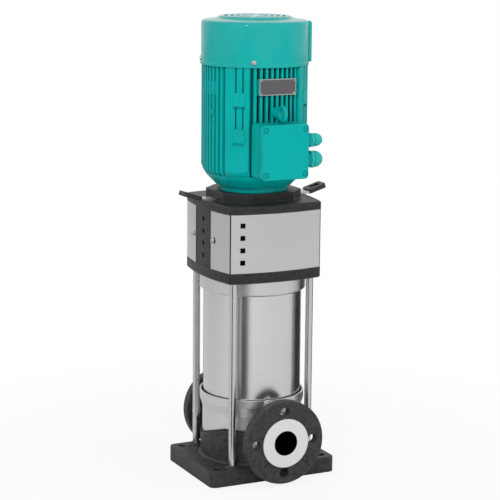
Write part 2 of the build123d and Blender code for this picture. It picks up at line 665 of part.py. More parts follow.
def flange_blank():
    """Loose flange before it is split, built along +Z from the pump axis."""
    front = FACE_TO_FACE / 2 - SEALING_PROUD
    back = front - FLANGE_THICKNESS
    counterbore = FACE_TO_FACE / 2 - LAP_THICKNESS - SWIVEL_GAP
    profile = [
        (NECK_RADIUS + SWIVEL_GAP, back),
        (FLANGE_RADIUS - FLANGE_EDGE, back),
        (FLANGE_RADIUS, back + FLANGE_EDGE),
        (FLANGE_RADIUS, front - FLANGE_EDGE),
        (FLANGE_RADIUS - FLANGE_EDGE, front),
        (SEALING_RADIUS + SWIVEL_GAP, front),
        (SEALING_RADIUS + SWIVEL_GAP, counterbore),
        (NECK_RADIUS + SWIVEL_GAP, counterbore),
    ]
    blank = turned(profile)
    for index in range(FLANGE_BOLTS):
        angle = 360 * index / FLANGE_BOLTS
        place = Rot(0, 0, angle) * Pos(FLANGE_CIRCLE / 2, 0, front)
        spot = RectangleRounded(2 * FLANGE_POCKET, 2 * FLANGE_POCKET, FLANGE_POCKET / 2)
        blank = blank - place * extrude(spot, FLANGE_POCKET_DEPTH, both=True)
        blank = blank - place * Cylinder(FLANGE_HOLE_RADIUS, 4 * FLANGE_THICKNESS)
    return blank


def wedge(angle, inner_cut, low, high):
    """Sector below the port axis, its sides moved in by a distance."""
    reach = 2 * FLANGE_RADIUS
    half = radians(angle / 2)
    tip = -inner_cut / sin(half)
    sector = Polyline((0, tip), (-reach * sin(half), tip - reach * cos(half)),
                      (reach * sin(half), tip - reach * cos(half)), close=True)
    return upright(make_face(sector), low, high)


def loose_flange(side):
    """C-shaped main piece of the loose flange, with a tongue behind each slit."""
    front = FACE_TO_FACE / 2 - SEALING_PROUD
    middle = front - FLANGE_THICKNESS / 2
    blank = flange_blank()
    gap = wedge(SEGMENT_ANGLE, -SLIT_WIDTH / 2, middle, front + OVERCUT)
    tongue_room = wedge(SEGMENT_ANGLE, HALF_LAP, front - 2 * FLANGE_THICKNESS, middle)
    return at_port(blank - gap - tongue_room, side)


def flange_segment(side):
    """Closing segment of the loose flange, seated on the tongues."""
    front = FACE_TO_FACE / 2 - SEALING_PROUD
    middle = front - FLANGE_THICKNESS / 2
    blank = flange_blank()
    upper = wedge(SEGMENT_ANGLE, SLIT_WIDTH / 2, middle, front + OVERCUT)
    lower = wedge(SEGMENT_ANGLE, HALF_LAP + SLIT_WIDTH, front - 2 * FLANGE_THICKNESS, middle)
    segment = blank & (upper + lower)
    ledge_radius = SEALING_RADIUS + SWIVEL_GAP + FLANGE_LEDGE_WIDTH
    segment = segment - column(ledge_radius, front - FLANGE_LEDGE, front + OVERCUT)
    return at_port(segment, side)


# ================================================================ sleeve and head
def outer_sleeve():
    """Round stainless sleeve between foot casing and pump head."""
    top = HEAD_BOTTOM + HEAD_SOCKET
    return tube(SLEEVE_RADIUS, SLEEVE_RADIUS - SLEEVE_WALL, SLEEVE_SEAT, top)


def sleeve_o_rings():
    """Two sealing rings round the sleeve's ends."""
    centre_radius = SLEEVE_RADIUS + SOCKET_GAP + O_RING_TUBE
    low = SLEEVE_SEAT + 3 * O_RING_TUBE
    high = HEAD_BOTTOM + HEAD_SOCKET - 2 * O_RING_TUBE
    rings = []
    for height in (low, high):
        rings.append(Pos(0, 0, height) * Torus(centre_radius, O_RING_TUBE))
    return group(rings)


def pump_head():
    """Stainless head: sleeve socket, seal chamber and the ring that clamps the stages."""
    socket_top = HEAD_BOTTOM + HEAD_SOCKET
    groove = SLEEVE_RADIUS + SOCKET_GAP + 2 * O_RING_TUBE + SOCKET_GAP
    groove_bottom = socket_top - 4 * O_RING_TUBE
    profile = [
        (SEAL_CHAMBER, LANTERN_BOTTOM),
        (HEAD_RADIUS, LANTERN_BOTTOM),
        (HEAD_RADIUS, HEAD_BOTTOM + HEAD_EDGE),
        (HEAD_RADIUS - HEAD_EDGE, HEAD_BOTTOM),
        (SLEEVE_RADIUS + SOCKET_GAP, HEAD_BOTTOM),
        (SLEEVE_RADIUS + SOCKET_GAP, groove_bottom),
        (groove, groove_bottom),
        (groove, socket_top),
        (CLAMP_RING_RADIUS, socket_top),
        (CLAMP_RING_RADIUS, stack_top()),
        (CLAMP_RING_RADIUS - CLAMP_RING_WALL, stack_top()),
        (CLAMP_RING_RADIUS - CLAMP_RING_WALL, socket_top),
        (SEAL_CHAMBER, socket_top),
    ]
    head = turned(profile)
    window_low = stack_top() + STAGE_PLATE * 3
    window_high = socket_top - STAGE_PLATE * 3
    for index in range(CLAMP_WINDOWS):
        window = block(0, 2 * STAGE_RADIUS, -CLAMP_WINDOW_WIDTH / 2, CLAMP_WINDOW_WIDTH / 2,
                       window_low, window_high)
        window = window & column(CLAMP_RING_RADIUS + OVERCUT, window_low, window_high)
        head = head - around(window, 360 * index / CLAMP_WINDOWS)
    return head


# ================================================================ stages
def stage_floor(index):
    """Height at which a stage stands, counted from zero."""
    return PARTITION_TOP + index * STAGE_PITCH


def stack_top():
    """Top of the last stage."""
    return stage_floor(STAGE_COUNT)


def curved_vane(inner, outer, sweep, thickness, height):
    """Blade standing on the XY plane that curves back as it runs outwards."""
    end = (outer * cos(radians(sweep)), outer * sin(radians(sweep)))
    middle_radius = (inner + outer) / 2
    middle = (middle_radius * cos(radians(sweep * 0.32)), middle_radius * sin(radians(sweep * 0.32)))
    spine = ThreePointArc((inner, 0), middle, end)
    side = offset(spine, thickness / 2, side=Side.BOTH, closed=True)
    return extrude(make_face(side), height)


def stage_casing(index):
    """Cup of one stage with its guide plate and return vanes."""
    floor = stage_floor(index)
    ceiling = floor + STAGE_PITCH
    plate_low = floor + IMPELLER_LIFT + 2 * SHROUD + IMPELLER_WIDTH + 2 * ASSEMBLY_GAP + STAGE_PLATE
    plate_high = plate_low + STAGE_PLATE
    cup = tube(STAGE_RADIUS, STAGE_RADIUS - STAGE_WALL, floor, ceiling)
    cup = cup + tube(STAGE_RADIUS - STAGE_WALL / 2, IMPELLER_EYE + ASSEMBLY_GAP, floor, floor + STAGE_PLATE)
    hub = IMPELLER_HUB + 2 * ASSEMBLY_GAP
    cup = cup + tube(GUIDE_PLATE_RADIUS, hub, plate_low, plate_high)
    vane_height = ceiling - plate_high
    start = hub + 4 * GUIDE_VANE_THICKNESS
    vane = curved_vane(start, STAGE_RADIUS - STAGE_WALL / 2, -GUIDE_SWEEP, GUIDE_VANE_THICKNESS, vane_height)
    for turn in range(GUIDE_VANES):
        cup = cup + around(Pos(0, 0, plate_high) * vane, 360 * turn / GUIDE_VANES)
    return cup


def impeller(index):
    """Closed impeller with backward-curved blades."""
    bottom = stage_floor(index) + IMPELLER_LIFT
    lower = tube(IMPELLER_RADIUS, IMPELLER_EYE - SHROUD, bottom, bottom + SHROUD)
    neck = tube(IMPELLER_EYE, IMPELLER_EYE - SHROUD, stage_floor(index) + ASSEMBLY_GAP, bottom + SHROUD)
    upper_low = bottom + SHROUD + IMPELLER_WIDTH
    upper = tube(IMPELLER_RADIUS, PUMP_SHAFT_RADIUS, upper_low, upper_low + SHROUD)
    hub = tube(IMPELLER_HUB, PUMP_SHAFT_RADIUS, bottom, upper_low + SHROUD)
    wheel = lower + neck + upper + hub
    start = IMPELLER_EYE + VANE_THICKNESS
    end = IMPELLER_RADIUS - VANE_THICKNESS
    vane = curved_vane(start, end, -IMPELLER_SWEEP, VANE_THICKNESS, IMPELLER_WIDTH)
    for turn in range(IMPELLER_VANES):
        wheel = wheel + around(Pos(0, 0, bottom + SHROUD) * vane, 360 * turn / IMPELLER_VANES)
    return wheel


def impeller_bottom(index):
    """Lower face of an impeller's hub."""
    return stage_floor(index) + IMPELLER_LIFT


def impeller_top(index):
    """Upper face of an impeller's hub."""
    return impeller_bottom(index) + 2 * SHROUD + IMPELLER_WIDTH


def shaft_spacers():
    """Sleeves on the shaft between the impellers."""
    spacers = []
    for index in range(STAGE_COUNT - 1):
        low = impeller_top(index)
        high = impeller_bottom(index + 1)
        spacers.append(tube(IMPELLER_HUB - ASSEMBLY_GAP, PUMP_SHAFT_RADIUS, low, high))
    return group(spacers)


def pump_shaft():
    """Pump shaft from the lower bush to the coupling."""
    low = PARTITION_TOP - BUSH_LENGTH - SHAFT_TAIL
    return column(PUMP_SHAFT_RADIUS, low, LANTERN_BOTTOM + SHAFT_REACH)


def shaft_bush():
    """Plain bearing in the foot casing's spider."""
    return tube(PUMP_SHAFT_RADIUS + BUSH_WALL, PUMP_SHAFT_RADIUS + RUNNING_GAP,
                PARTITION_TOP - BUSH_LENGTH, PARTITION_TOP)


# ================================================================ shaft seal
def seal_cover():
    """Cover that closes the seal chamber from the lantern."""
    plate = tube(SEAL_COVER_RADIUS, PUMP_SHAFT_RADIUS + ASSEMBLY_GAP, LANTERN_BOTTOM,
                 LANTERN_BOTTOM + SEAL_COVER_HEIGHT)
    spigot = tube(SEAL_CHAMBER - RUNNING_GAP, SEAL_RING_RADIUS, LANTERN_BOTTOM - SEAL_SEAT_HEIGHT,
                  LANTERN_BOTTOM)
    return plate + spigot


def seal_seat():
    """Stationary ring of the mechanical seal."""
    return tube(SEAL_RING_RADIUS, PUMP_SHAFT_RADIUS + ASSEMBLY_GAP, LANTERN_BOTTOM - SEAL_SEAT_HEIGHT,
                LANTERN_BOTTOM)


def seal_rotor():
    """Turning ring, spring and drive collar of the mechanical seal."""
    face = LANTERN_BOTTOM - SEAL_SEAT_HEIGHT - RUNNING_GAP
    ring_low = face - SEAL_BODY_HEIGHT / 3
    ring = tube(SEAL_RING_RADIUS - 1, PUMP_SHAFT_RADIUS, ring_low, face)
    collar_low = face - SEAL_BODY_HEIGHT
    collar_high = collar_low + SEAL_BODY_HEIGHT / 4
    collar = tube(SEAL_RING_RADIUS - 1, PUMP_SHAFT_RADIUS, collar_low, collar_high)
    turns = []
    gap = ring_low - collar_high
    pitch = gap / SEAL_SPRING_TURNS
    for turn in range(SEAL_SPRING_TURNS):
        height = collar_high + pitch * (turn + 0.5)
        turns.append(Pos(0, 0, height) * Torus(SEAL_RING_RADIUS - 4, pitch * 0.45))
    return group([ring, collar] + turns)


# ================================================================ lantern and guards
def lantern():
    """Cast motor stool: two plates, two side walls and the motor collar."""
    roof_bottom = LANTERN_ROOF_BOTTOM
    foot_top = LANTERN_BOTTOM + LANTERN_FOOT
    outline = rounded(bulged_outline(), LANTERN_CORNER)
    foot = upright(outline, LANTERN_BOTTOM, foot_top)
    foot = chamfer(foot.faces().sort_by(Axis.Z)[0].edges(), LANTERN_EDGE)
    roof = upright(outline, roof_bottom, LANTERN_TOP)
    roof = chamfer(roof.faces().sort_by(Axis.Z)[-1].edges(), LANTERN_EDGE)
    wall_face = bulged_outline(wall_inset()) - bulged_outline(wall_inset() + LANTERN_WALL)
    span = Rectangle(2 * LANTERN_LENGTH, LANTERN_WALL_SPAN)
    walls = upright(wall_face & span, foot_top, roof_bottom)
    stool = foot + walls + roof
    stool = stool + upright(motor_collar_outline(), LANTERN_TOP, LANTERN_TOP + COLLAR_HEIGHT)
    stool = stool - column(COLLAR_INSIDE, LANTERN_TOP, LANTERN_TOP + COLLAR_HEIGHT + OVERCUT)
    stool = stool - column(SPIGOT_RADIUS + RUNNING_GAP, roof_bottom - OVERCUT, LANTERN_TOP + OVERCUT)
    stool = stool - column(LANTERN_BORE, LANTERN_BOTTOM - OVERCUT, foot_top + OVERCUT)
    for x, y in corners(ROD_SPACING_X, ROD_SPACING_Y):
        stool = stool - column(ROD_RADIUS + ASSEMBLY_GAP, LANTERN_BOTTOM - OVERCUT, foot_top + OVERCUT, x, y)
    for x, y in motor_bolt_places():
        hole = MOTOR_BOLT_RADIUS + ASSEMBLY_GAP
        stool = stool - column(hole, roof_bottom - OVERCUT, LANTERN_TOP + OVERCUT, x, y)
    stool = stool - vent_cutters(2 * LANTERN_LENGTH, VENT_SQUARE, 0.0)
    for sign in (-1, 1):
        for y in (-GUARD_SCREW_Y, GUARD_SCREW_Y):
            hole = Pos(sign * LANTERN_LENGTH / 2, y, VENT_CENTRE) * Rot(0, 90, 0)
            stool = stool - hole * Cylinder(GUARD_SCREW_RADIUS, 2 * LANTERN_BULGE + 4 * LANTERN_WALL)
        screw_low = LANTERN_TOP - STRAP_SCREW_DEPTH
        stool = stool - column(STRAP_SCREW_RADIUS, screw_low, LANTERN_TOP + OVERCUT, sign * STRAP_SCREW_X)
    return stool


def wall_inset():
    """How far the lantern's walls stand behind the plates' edges."""
    return GUARD_INSET + GUARD_THICKNESS


def vent_cutters(length, size, y):
    """Column of square bars along X, one for each row of vents."""
    bars = []
    for row in range(VENT_ROWS):
        height = VENT_CENTRE + (row - (VENT_ROWS - 1) / 2) * VENT_PITCH
        bars.append(Pos(0, y, height) * Box(length, size, size))
    return fuse(bars)


def motor_collar_outline():
    """Rectangle with cut corners round the motor's flange."""
    outline = Rectangle(2 * COLLAR_FLAT_X, 2 * COLLAR_FLAT_Y)
    return chamfer(outline.vertices(), COLLAR_CHAMFER)


def motor_bolt_places():
    """Centres of the motor's flange bolts."""
    places = []
    for turn in (45, 135, 225, 315):
        places.append((MOTOR_FLANGE_CIRCLE / 2 * cos(radians(turn)),
                       MOTOR_FLANGE_CIRCLE / 2 * sin(radians(turn))))
    return places


def guard(side):
    """Half-shell coupling guard bent round the lantern, with a column of square vents."""
    sheet = bulged_outline(GUARD_INSET) - bulged_outline(wall_inset())
    reach = 2 * LANTERN_WIDTH
    keep = Pos(0, -GUARD_HALF_GAP - reach / 2) * Rectangle(2 * reach, reach)
    low = LANTERN_BOTTOM + LANTERN_FOOT + ASSEMBLY_GAP
    high = LANTERN_ROOF_BOTTOM - ASSEMBLY_GAP
    shell = upright(sheet & keep, low, high)
    for row in range(VENT_ROWS):
        height = VENT_CENTRE + (row - (VENT_ROWS - 1) / 2) * VENT_PITCH
        place = Pos(-VENT_X, -LANTERN_WIDTH / 2, height)
        shell = shell - place * Box(VENT_SQUARE, 4 * LANTERN_BULGE, VENT_SQUARE)
    for sign in (-1, 1):
        hole = Pos(sign * LANTERN_LENGTH / 2, -GUARD_SCREW_Y, VENT_CENTRE) * Rot(0, 90, 0)
        length = 2 * LANTERN_BULGE + LANTERN_WALL
        shell = shell - hole * Cylinder(GUARD_SCREW_RADIUS + ASSEMBLY_GAP / 2, length)
    turn = 0.0 if side == "front" else 180.0
    return around(shell, turn)


def side_face(y, inset):
    """Distance from the centre plane of a bulged side at a given Y."""
    half_x = LANTERN_LENGTH / 2 - inset
    half_y = LANTERN_WIDTH / 2 - inset
    radius = (half_y ** 2 + LANTERN_BULGE ** 2) / (2 * LANTERN_BULGE)
    return half_x + LANTERN_BULGE - radius + sqrt(radius ** 2 - y ** 2)


def guard_screws():
    """Pan-head screws with washers that hold the guards' free edges."""
    seat = side_face(GUARD_SCREW_Y - GUARD_WASHER_RADIUS, GUARD_INSET) + ASSEMBLY_GAP / 4
    washer_top = seat + GUARD_WASHER_HEIGHT
    washer = tube(GUARD_WASHER_RADIUS, GUARD_SCREW_RADIUS, seat, washer_top)
    head = column(GUARD_SCREW_HEAD, washer_top, washer_top + GUARD_SCREW_HEAD_HEIGHT)
    shank = column(GUARD_SCREW_RADIUS, seat - GUARD_SCREW_LENGTH, washer_top)
    screws = []
    for turn in (0, 180):
        for y in (-GUARD_SCREW_Y, GUARD_SCREW_Y):
            for piece in (head + shank, washer):
                screws.append(around(Pos(0, y, VENT_CENTRE) * Rot(0, 90, 0) * piece, turn))
    return group(screws)


# ================================================================ tie rods
def tie_rods():
    """Four rods that draw the lantern and the head down on to the base."""
    top = LANTERN_BOTTOM + LANTERN_FOOT + ROD_WASHER_HEIGHT + ROD_NUT_HEIGHT + ROD_TIP
    return group([column(ROD_RADIUS, rod_bottom(), top, x, y)
                  for x, y in corners(ROD_SPACING_X, ROD_SPACING_Y)])


def tie_rod_nuts():
    """Nut and washer on each rod."""
    seat = LANTERN_BOTTOM + LANTERN_FOOT
    washer_top = seat + ROD_WASHER_HEIGHT
    pieces = []
    for x, y in corners(ROD_SPACING_X, ROD_SPACING_Y):
        pieces.append(tube(ROD_WASHER_RADIUS, ROD_RADIUS, seat, washer_top, x, y))
        nut = hexagon_prism(ROD_NUT_ACROSS, washer_top, washer_top + ROD_NUT_HEIGHT, x, y)
        pieces.append(nut - column(ROD_RADIUS, seat, washer_top + 2 * ROD_NUT_HEIGHT, x, y))
    return group(pieces)


# ================================================================ lifting straps
def on_incline(shape):
    """Shape built flat with +X outwards, tipped up at the strap's bend."""
    return Pos(STRAP_BEND, 0, LANTERN_TOP) * Rot(0, -STRAP_ANGLE, 0) * shape


def lifting_strap(turn):
    """Flat steel strap, bent up, with the tongue that the grip is pushed on."""
    half = STRAP_WIDTH / 2
    flat = block(STRAP_START, STRAP_BEND + STRAP_THICKNESS * tan(radians(STRAP_ANGLE / 2)), -half, half,
                 LANTERN_TOP, LANTERN_TOP + STRAP_THICKNESS)
    rise = on_incline(block(0, GRIP_START, -half, half, 0, STRAP_THICKNESS))
    tongue_half = TONGUE_WIDTH / 2
    tongue = on_incline(block(0, STRAP_RUN - GRIP_START / 2, -tongue_half, tongue_half, 0, STRAP_THICKNESS))
    strap = flat + rise
    strap = strap + tongue
    head = Pos(STRAP_SCREW_X, 0, LANTERN_TOP + STRAP_THICKNESS - (STRAP_SCREW_HEAD - STRAP_SCREW_RADIUS) / 2)
    sink = head * Cone(STRAP_SCREW_RADIUS, STRAP_SCREW_HEAD, STRAP_SCREW_HEAD - STRAP_SCREW_RADIUS)
    strap = strap - sink
    strap = strap - column(STRAP_SCREW_RADIUS, 0, LANTERN_TOP + STRAP_THICKNESS, STRAP_SCREW_X)
    return around(strap, turn)


def strap_screws():
    """Countersunk screws that hold the straps on the lantern."""
    head_height = STRAP_SCREW_HEAD - STRAP_SCREW_RADIUS
    top = LANTERN_TOP + STRAP_THICKNESS
    head = Pos(STRAP_SCREW_X, 0, top - head_height / 2) * Cone(
        STRAP_SCREW_RADIUS, STRAP_SCREW_HEAD, head_height)
    shank = column(STRAP_SCREW_RADIUS, LANTERN_TOP - STRAP_SCREW_DEPTH, top - head_height / 2, STRAP_SCREW_X)
    return group([around(head + shank, turn) for turn in (0, 180)])


def strap_grip(turn):
    """Moulded loop on the end of a strap."""
    low = (STRAP_THICKNESS - GRIP_THICKNESS) / 2
    outline = RectangleRounded(GRIP_LENGTH, GRIP_WIDTH, GRIP_CORNER)
    loop = extrude(Pos(GRIP_START + GRIP_LENGTH / 2, 0, low) * outline, GRIP_THICKNESS)
    rim = (GRIP_WIDTH - GRIP_SLOT_WIDTH) / 2
    slot_centre = GRIP_START + GRIP_LENGTH - rim - GRIP_SLOT_LENGTH / 2
    slot = RectangleRounded(GRIP_SLOT_LENGTH, GRIP_SLOT_WIDTH, GRIP_CORNER / 2)
    loop = loop - extrude(Pos(slot_centre, 0, low - OVERCUT) * slot, GRIP_THICKNESS + 2 * OVERCUT)
    tongue_half = TONGUE_WIDTH / 2
    pocket = block(0, STRAP_RUN - GRIP_START / 2, -tongue_half, tongue_half, 0, STRAP_THICKNESS)
    loop = loop - pocket
    return around(on_incline(loop), turn)


# ================================================================ coupling
def coupling_half(side):
    """Half of the split coupling that clamps both shafts."""
    body = column(COUPLING_RADIUS, COUPLING_BOTTOM, COUPLING_TOP)
    motor_end = LANTERN_TOP - MOTOR_SHAFT_LENGTH
    body = body - column(PUMP_SHAFT_RADIUS, COUPLING_BOTTOM - OVERCUT, motor_end)
    body = body - column(MOTOR_SHAFT_RADIUS, motor_end, COUPLING_TOP + OVERCUT)
    reach = 2 * COUPLING_RADIUS
    body = body & block(-reach, reach, -reach, -COUPLING_SLIT / 2, 0, LANTERN_TOP)
    for x, height in coupling_screw_places():
        place = Pos(x, 0, height) * Rot(90, 0, 0)
        body = body - place * Cylinder(COUPLING_SCREW_RADIUS, 3 * COUPLING_RADIUS)
        pocket = Pos(0, 0, coupling_seat() + COUPLING_RADIUS / 2) * Cylinder(
            COUPLING_SCREW_HEAD + ASSEMBLY_GAP, COUPLING_RADIUS)
        body = body - place * pocket
    turn = 0.0 if side == "front" else 180.0
    return around(body, turn)


def coupling_seat():
    """Distance of the screws' seats from the split."""
    return COUPLING_RADIUS / 2


def coupling_screw_places():
    """X and height of each coupling screw."""
    low = COUPLING_BOTTOM + COUPLING_SCREW_INSET
    high = COUPLING_TOP - COUPLING_SCREW_INSET
    return [(x, height) for x in (-COUPLING_SCREW_X, COUPLING_SCREW_X) for height in (low, high)]


def coupling_screws():
    """Socket screws through both halves."""
    head_length = 2 * COUPLING_SCREW_RADIUS
    screws = []
    for x, height in coupling_screw_places():
        head = column(COUPLING_SCREW_HEAD, coupling_seat(), coupling_seat() + head_length)
        shank = column(COUPLING_SCREW_RADIUS, -coupling_seat(), coupling_seat())
        screws.append(Pos(x, 0, height) * Rot(90, 0, 0) * (head + shank))
    return group(screws)


# ================================================================ motor
def drive_end_shield():
    """Bowl-shaped shield with the flange that sits in the lantern's collar."""
    seat_top = DRIVE_BEARING_BOTTOM + BEARING_WIDTH
    inner_hub = BEARING_OUTSIDE + SHIELD_WALL
    profile = [
        (MOTOR_SHAFT_RADIUS + SHAFT_GAP, LANTERN_TOP - SPIGOT_DEPTH),
        (SPIGOT_RADIUS, LANTERN_TOP - SPIGOT_DEPTH),
        (SPIGOT_RADIUS, LANTERN_TOP),
        (MOTOR_FLANGE_RADIUS, LANTERN_TOP),
        (MOTOR_FLANGE_RADIUS, SHIELD_RIM_BOTTOM),
        (SHIELD_RIM_RADIUS, SHIELD_RIM_BOTTOM),
        (SHIELD_RIM_RADIUS + SHIELD_EDGE, SHIELD_RIM_BOTTOM + SHIELD_EDGE),
        (SHIELD_TOP_RADIUS - SHIELD_EDGE, SHIELD_TOP - 1.5 * SHIELD_EDGE),
        (SHIELD_TOP_RADIUS, SHIELD_TOP),
        (FRAME_BORE, SHIELD_TOP),
        (FRAME_BORE - SHIELD_WALL, SHIELD_RIM_BOTTOM + SHIELD_WALL),
        (inner_hub, SHIELD_RIM_BOTTOM + SHIELD_WALL),
        (inner_hub, seat_top),
        (BEARING_OUTSIDE, seat_top),
        (BEARING_OUTSIDE, DRIVE_BEARING_BOTTOM),
        (MOTOR_SHAFT_RADIUS + SHAFT_GAP, DRIVE_BEARING_BOTTOM),
    ]
    shield = turned(profile)
    for x, y in motor_bolt_places():
        top = LANTERN_TOP + MOTOR_BOLT_GRIP + OVERCUT
        shield = shield - column(MOTOR_BOLT_RADIUS, LANTERN_TOP - OVERCUT, top, x, y)
    return shield


def motor_flange_bolts():
    """Bolts that hold the motor down from inside the lantern."""
    seat = LANTERN_ROOF_BOTTOM
    bolts = []
    for x, y in motor_bolt_places():
        head = column(MOTOR_BOLT_HEAD, seat - MOTOR_BOLT_HEAD_HEIGHT, seat, x, y)
        shank = column(MOTOR_BOLT_RADIUS, seat, LANTERN_TOP + MOTOR_BOLT_GRIP, x, y)
        bolts.append(head + shank)
    return group(bolts)


def frame_outline():
    """Cross-section of the finned motor frame, without its bore."""
    outline = Circle(FRAME_ROOT)
    fins = []
    reach = (FINS_PER_SIDE - 1) / 2
    for index in range(FINS_PER_SIDE):
        place = (index - reach) * FIN_PITCH
        fins.append(Pos(place, 0) * Rectangle(FIN_THICKNESS, 2 * FRAME_RADIUS))
        fins.append(Pos(0, place) * Rectangle(2 * FRAME_RADIUS, FIN_THICKNESS))
    tips = Circle(FRAME_RADIUS)
    for fin in fins:
        outline = outline + (fin & tips)
    pad = RectangleRounded(2 * PAD_DISTANCE, 2 * PAD_HALF_WIDTH, PAD_CORNER)
    for turn in (45, 135):
        outline = outline + Rot(0, 0, turn) * pad
    return outline


def motor_frame():
    """Finned motor frame with corner pads, box seat, plate seat and lifting boss."""
    frame = upright(frame_outline(), SHIELD_TOP, FRAME_TOP)
    spigot_bottom = COWL_BOTTOM - ASSEMBLY_GAP
    envelope = [
        (0, SHIELD_TOP),
        (SHIELD_TOP_RADIUS, SHIELD_TOP),
        (PAD_REACH, SHIELD_TOP + FRAME_LEAD),
        (PAD_REACH, spigot_bottom),
        (FAN_SHIELD_RADIUS, spigot_bottom),
        (FAN_SHIELD_RADIUS, FRAME_TOP),
        (0, FRAME_TOP),
    ]
    frame = frame & turned(envelope)
    width = BOX_NECK_HALF_WIDTH
    height = (BOX_TOP + BOX_BOTTOM) / 2
    neck = block(-width, width, -BOX_BACK, -FRAME_ROOT / 2,
                 height - BOX_NECK_HALF_HEIGHT, height + BOX_NECK_HALF_HEIGHT)
    room = block(-BOX_HALF_WIDTH - ASSEMBLY_GAP, BOX_HALF_WIDTH + ASSEMBLY_GAP,
                 -2 * BOX_FRONT, -BOX_BACK, BOX_BOTTOM - ASSEMBLY_GAP, BOX_TOP + ASSEMBLY_GAP)
    frame = frame - room + neck
    plate_seat = block(-PLATE_HALF_WIDTH, PLATE_HALF_WIDTH, -PLATE_DISTANCE, -FRAME_ROOT / 2,
                       PLATE_HEIGHT - PLATE_HALF_HEIGHT, PLATE_HEIGHT + PLATE_HALF_HEIGHT)
    frame = frame + plate_seat
    boss = Pos(0, -EYE_BOSS_REACH / 2, EYE_HEIGHT) * Rot(90, 0, 0) * Cylinder(EYE_BOSS_RADIUS, EYE_BOSS_REACH)
    frame = frame + boss
    for turn in (0, 90, 180, 270):
        frame = frame - around(pad_recesses(), turn)
        frame = frame + around(pad_blocks(), turn)
    for turn in (0, 180):
        frame = frame + around(side_bridge(), turn)
    frame = frame + outward(column(PLUG_SEAT_RADIUS, FRAME_ROOT / 2, plug_seat_reach()), 180, 0).moved(
        Location((0, PLUG_SEAT_Y, FRAME_TOP - PLUG_SEAT_DROP)))
    frame = frame - outward(column(PLUG_SEAT_BORE, plug_seat_reach() - PLUG_SEAT_SINK,
                                   plug_seat_reach() + OVERCUT), 180, 0).moved(
        Location((0, PLUG_SEAT_Y, FRAME_TOP - PLUG_SEAT_DROP)))
    frame = frame - column(FRAME_BORE, SHIELD_TOP - OVERCUT, FRAME_TOP + OVERCUT)
    thread = Pos(0, -EYE_BOSS_REACH, EYE_HEIGHT) * Rot(90, 0, 0) * Cylinder(
        EYE_SHANK_RADIUS, 2 * (EYE_SHANK_LENGTH + OVERCUT))
    return frame - thread


def plug_seat_reach():
    """Distance of the blank boss's face from the axis."""
    return FRAME_RADIUS + PLUG_SEAT_PROUD


def on_pad(low_side, high_side, inner, outer, low, high):
    """Box on the corner pad between the front and the left side; its sides run across the pad."""
    return Rot(0, 0, -135) * block(inner, outer, low_side, high_side, low, high)


def pad_recesses():
    """Grooves of one corner pad, above and between the foot bosses."""
    floor = PAD_DISTANCE - PAD_GROOVE_DEPTH
    outside = PAD_REACH + OVERCUT
    cutters = []
    half = PAD_GROOVE_WIDTH / 2
    edges = sorted(FRAME_TOP - drop for drop in PAD_BLOCKS)
    for edge, high in zip(edges, edges[1:] + [FRAME_TOP + OVERCUT]):
        low = edge + PAD_BLOCK_HEIGHT
        for side in PAD_GROOVES:
            cutters.append(on_pad(side - half, side + half, floor, outside, low, high))
    for drop in PAD_BLOCKS:
        high = FRAME_TOP - drop
        cutters.append(on_pad(PAD_BLOCK_LOW, PAD_BLOCK_HIGH, PAD_DISTANCE - PAD_GROOVE_DEPTH / 2, outside,
                              high - PAD_UNDERCUT, high))
    return fuse(cutters)


def pad_blocks():
    """Foot bosses that stand a little proud of one corner pad."""
    inner = PAD_DISTANCE - PAD_GROOVE_DEPTH
    blocks = []
    for drop in PAD_BLOCKS:
        low = FRAME_TOP - drop
        blocks.append(on_pad(PAD_BLOCK_LOW, PAD_BLOCK_HIGH, inner, PAD_DISTANCE + PAD_BLOCK_PROUD,
                             low, low + PAD_BLOCK_HEIGHT))
    return fuse(blocks)


def side_bridge():
    """Bar that joins the fins on one side of the frame."""
    middle = FRAME_TOP - BRIDGE_DROP
    bar = block(FRAME_ROOT - OVERCUT, FRAME_RADIUS, -BRIDGE_HALF_WIDTH, BRIDGE_HALF_WIDTH,
                middle - BRIDGE_HEIGHT / 2, middle + BRIDGE_HEIGHT / 2)
    return bar & column(FRAME_RADIUS - BRIDGE_INSET, SHIELD_TOP, FRAME_TOP)


def fan_end_shield():
    """Shield at the fan end with the upper bearing seat."""
    seat_top = FAN_BEARING_BOTTOM + BEARING_WIDTH
    bore = MOTOR_SHAFT_RADIUS + SHAFT_GAP
    profile = [
        (bore, seat_top),
        (BEARING_OUTSIDE, seat_top),
        (BEARING_OUTSIDE, FAN_BEARING_BOTTOM),
        (BEARING_OUTSIDE + SHIELD_WALL, FAN_BEARING_BOTTOM),
        (BEARING_OUTSIDE + SHIELD_WALL, FRAME_TOP),
        (FAN_SHIELD_RADIUS, FRAME_TOP),
        (FAN_SHIELD_RADIUS, FRAME_TOP + FAN_SHIELD_RIM),
        (FAN_SHIELD_RADIUS - FAN_SHIELD_SLOPE, FAN_SHIELD_TOP),
        (bore, FAN_SHIELD_TOP),
    ]
    shield = turned(profile)
    for angle in COWL_SCREW_ANGLES:
        hole = column(COWL_SCREW_RADIUS, FAN_SHIELD_RADIUS - COWL_SCREW_GRIP, FAN_SHIELD_RADIUS + OVERCUT)
        shield = shield - outward(hole, angle, COWL_SCREW_HEIGHT)
    return shield


def stator_core():
    """Slotted stack of the stator."""
    core = tube(FRAME_BORE, STATOR_BORE, STATOR_BOTTOM, STATOR_TOP)
    half = STATOR_SLOT_WIDTH / 2
    slot = block(STATOR_BORE - OVERCUT, FRAME_BORE - STATOR_YOKE, -half, half,
                 STATOR_BOTTOM - OVERCUT, STATOR_TOP + OVERCUT)
    for index in range(STATOR_SLOTS):
        core = core - around(slot, 360 * index / STATOR_SLOTS)
    return core


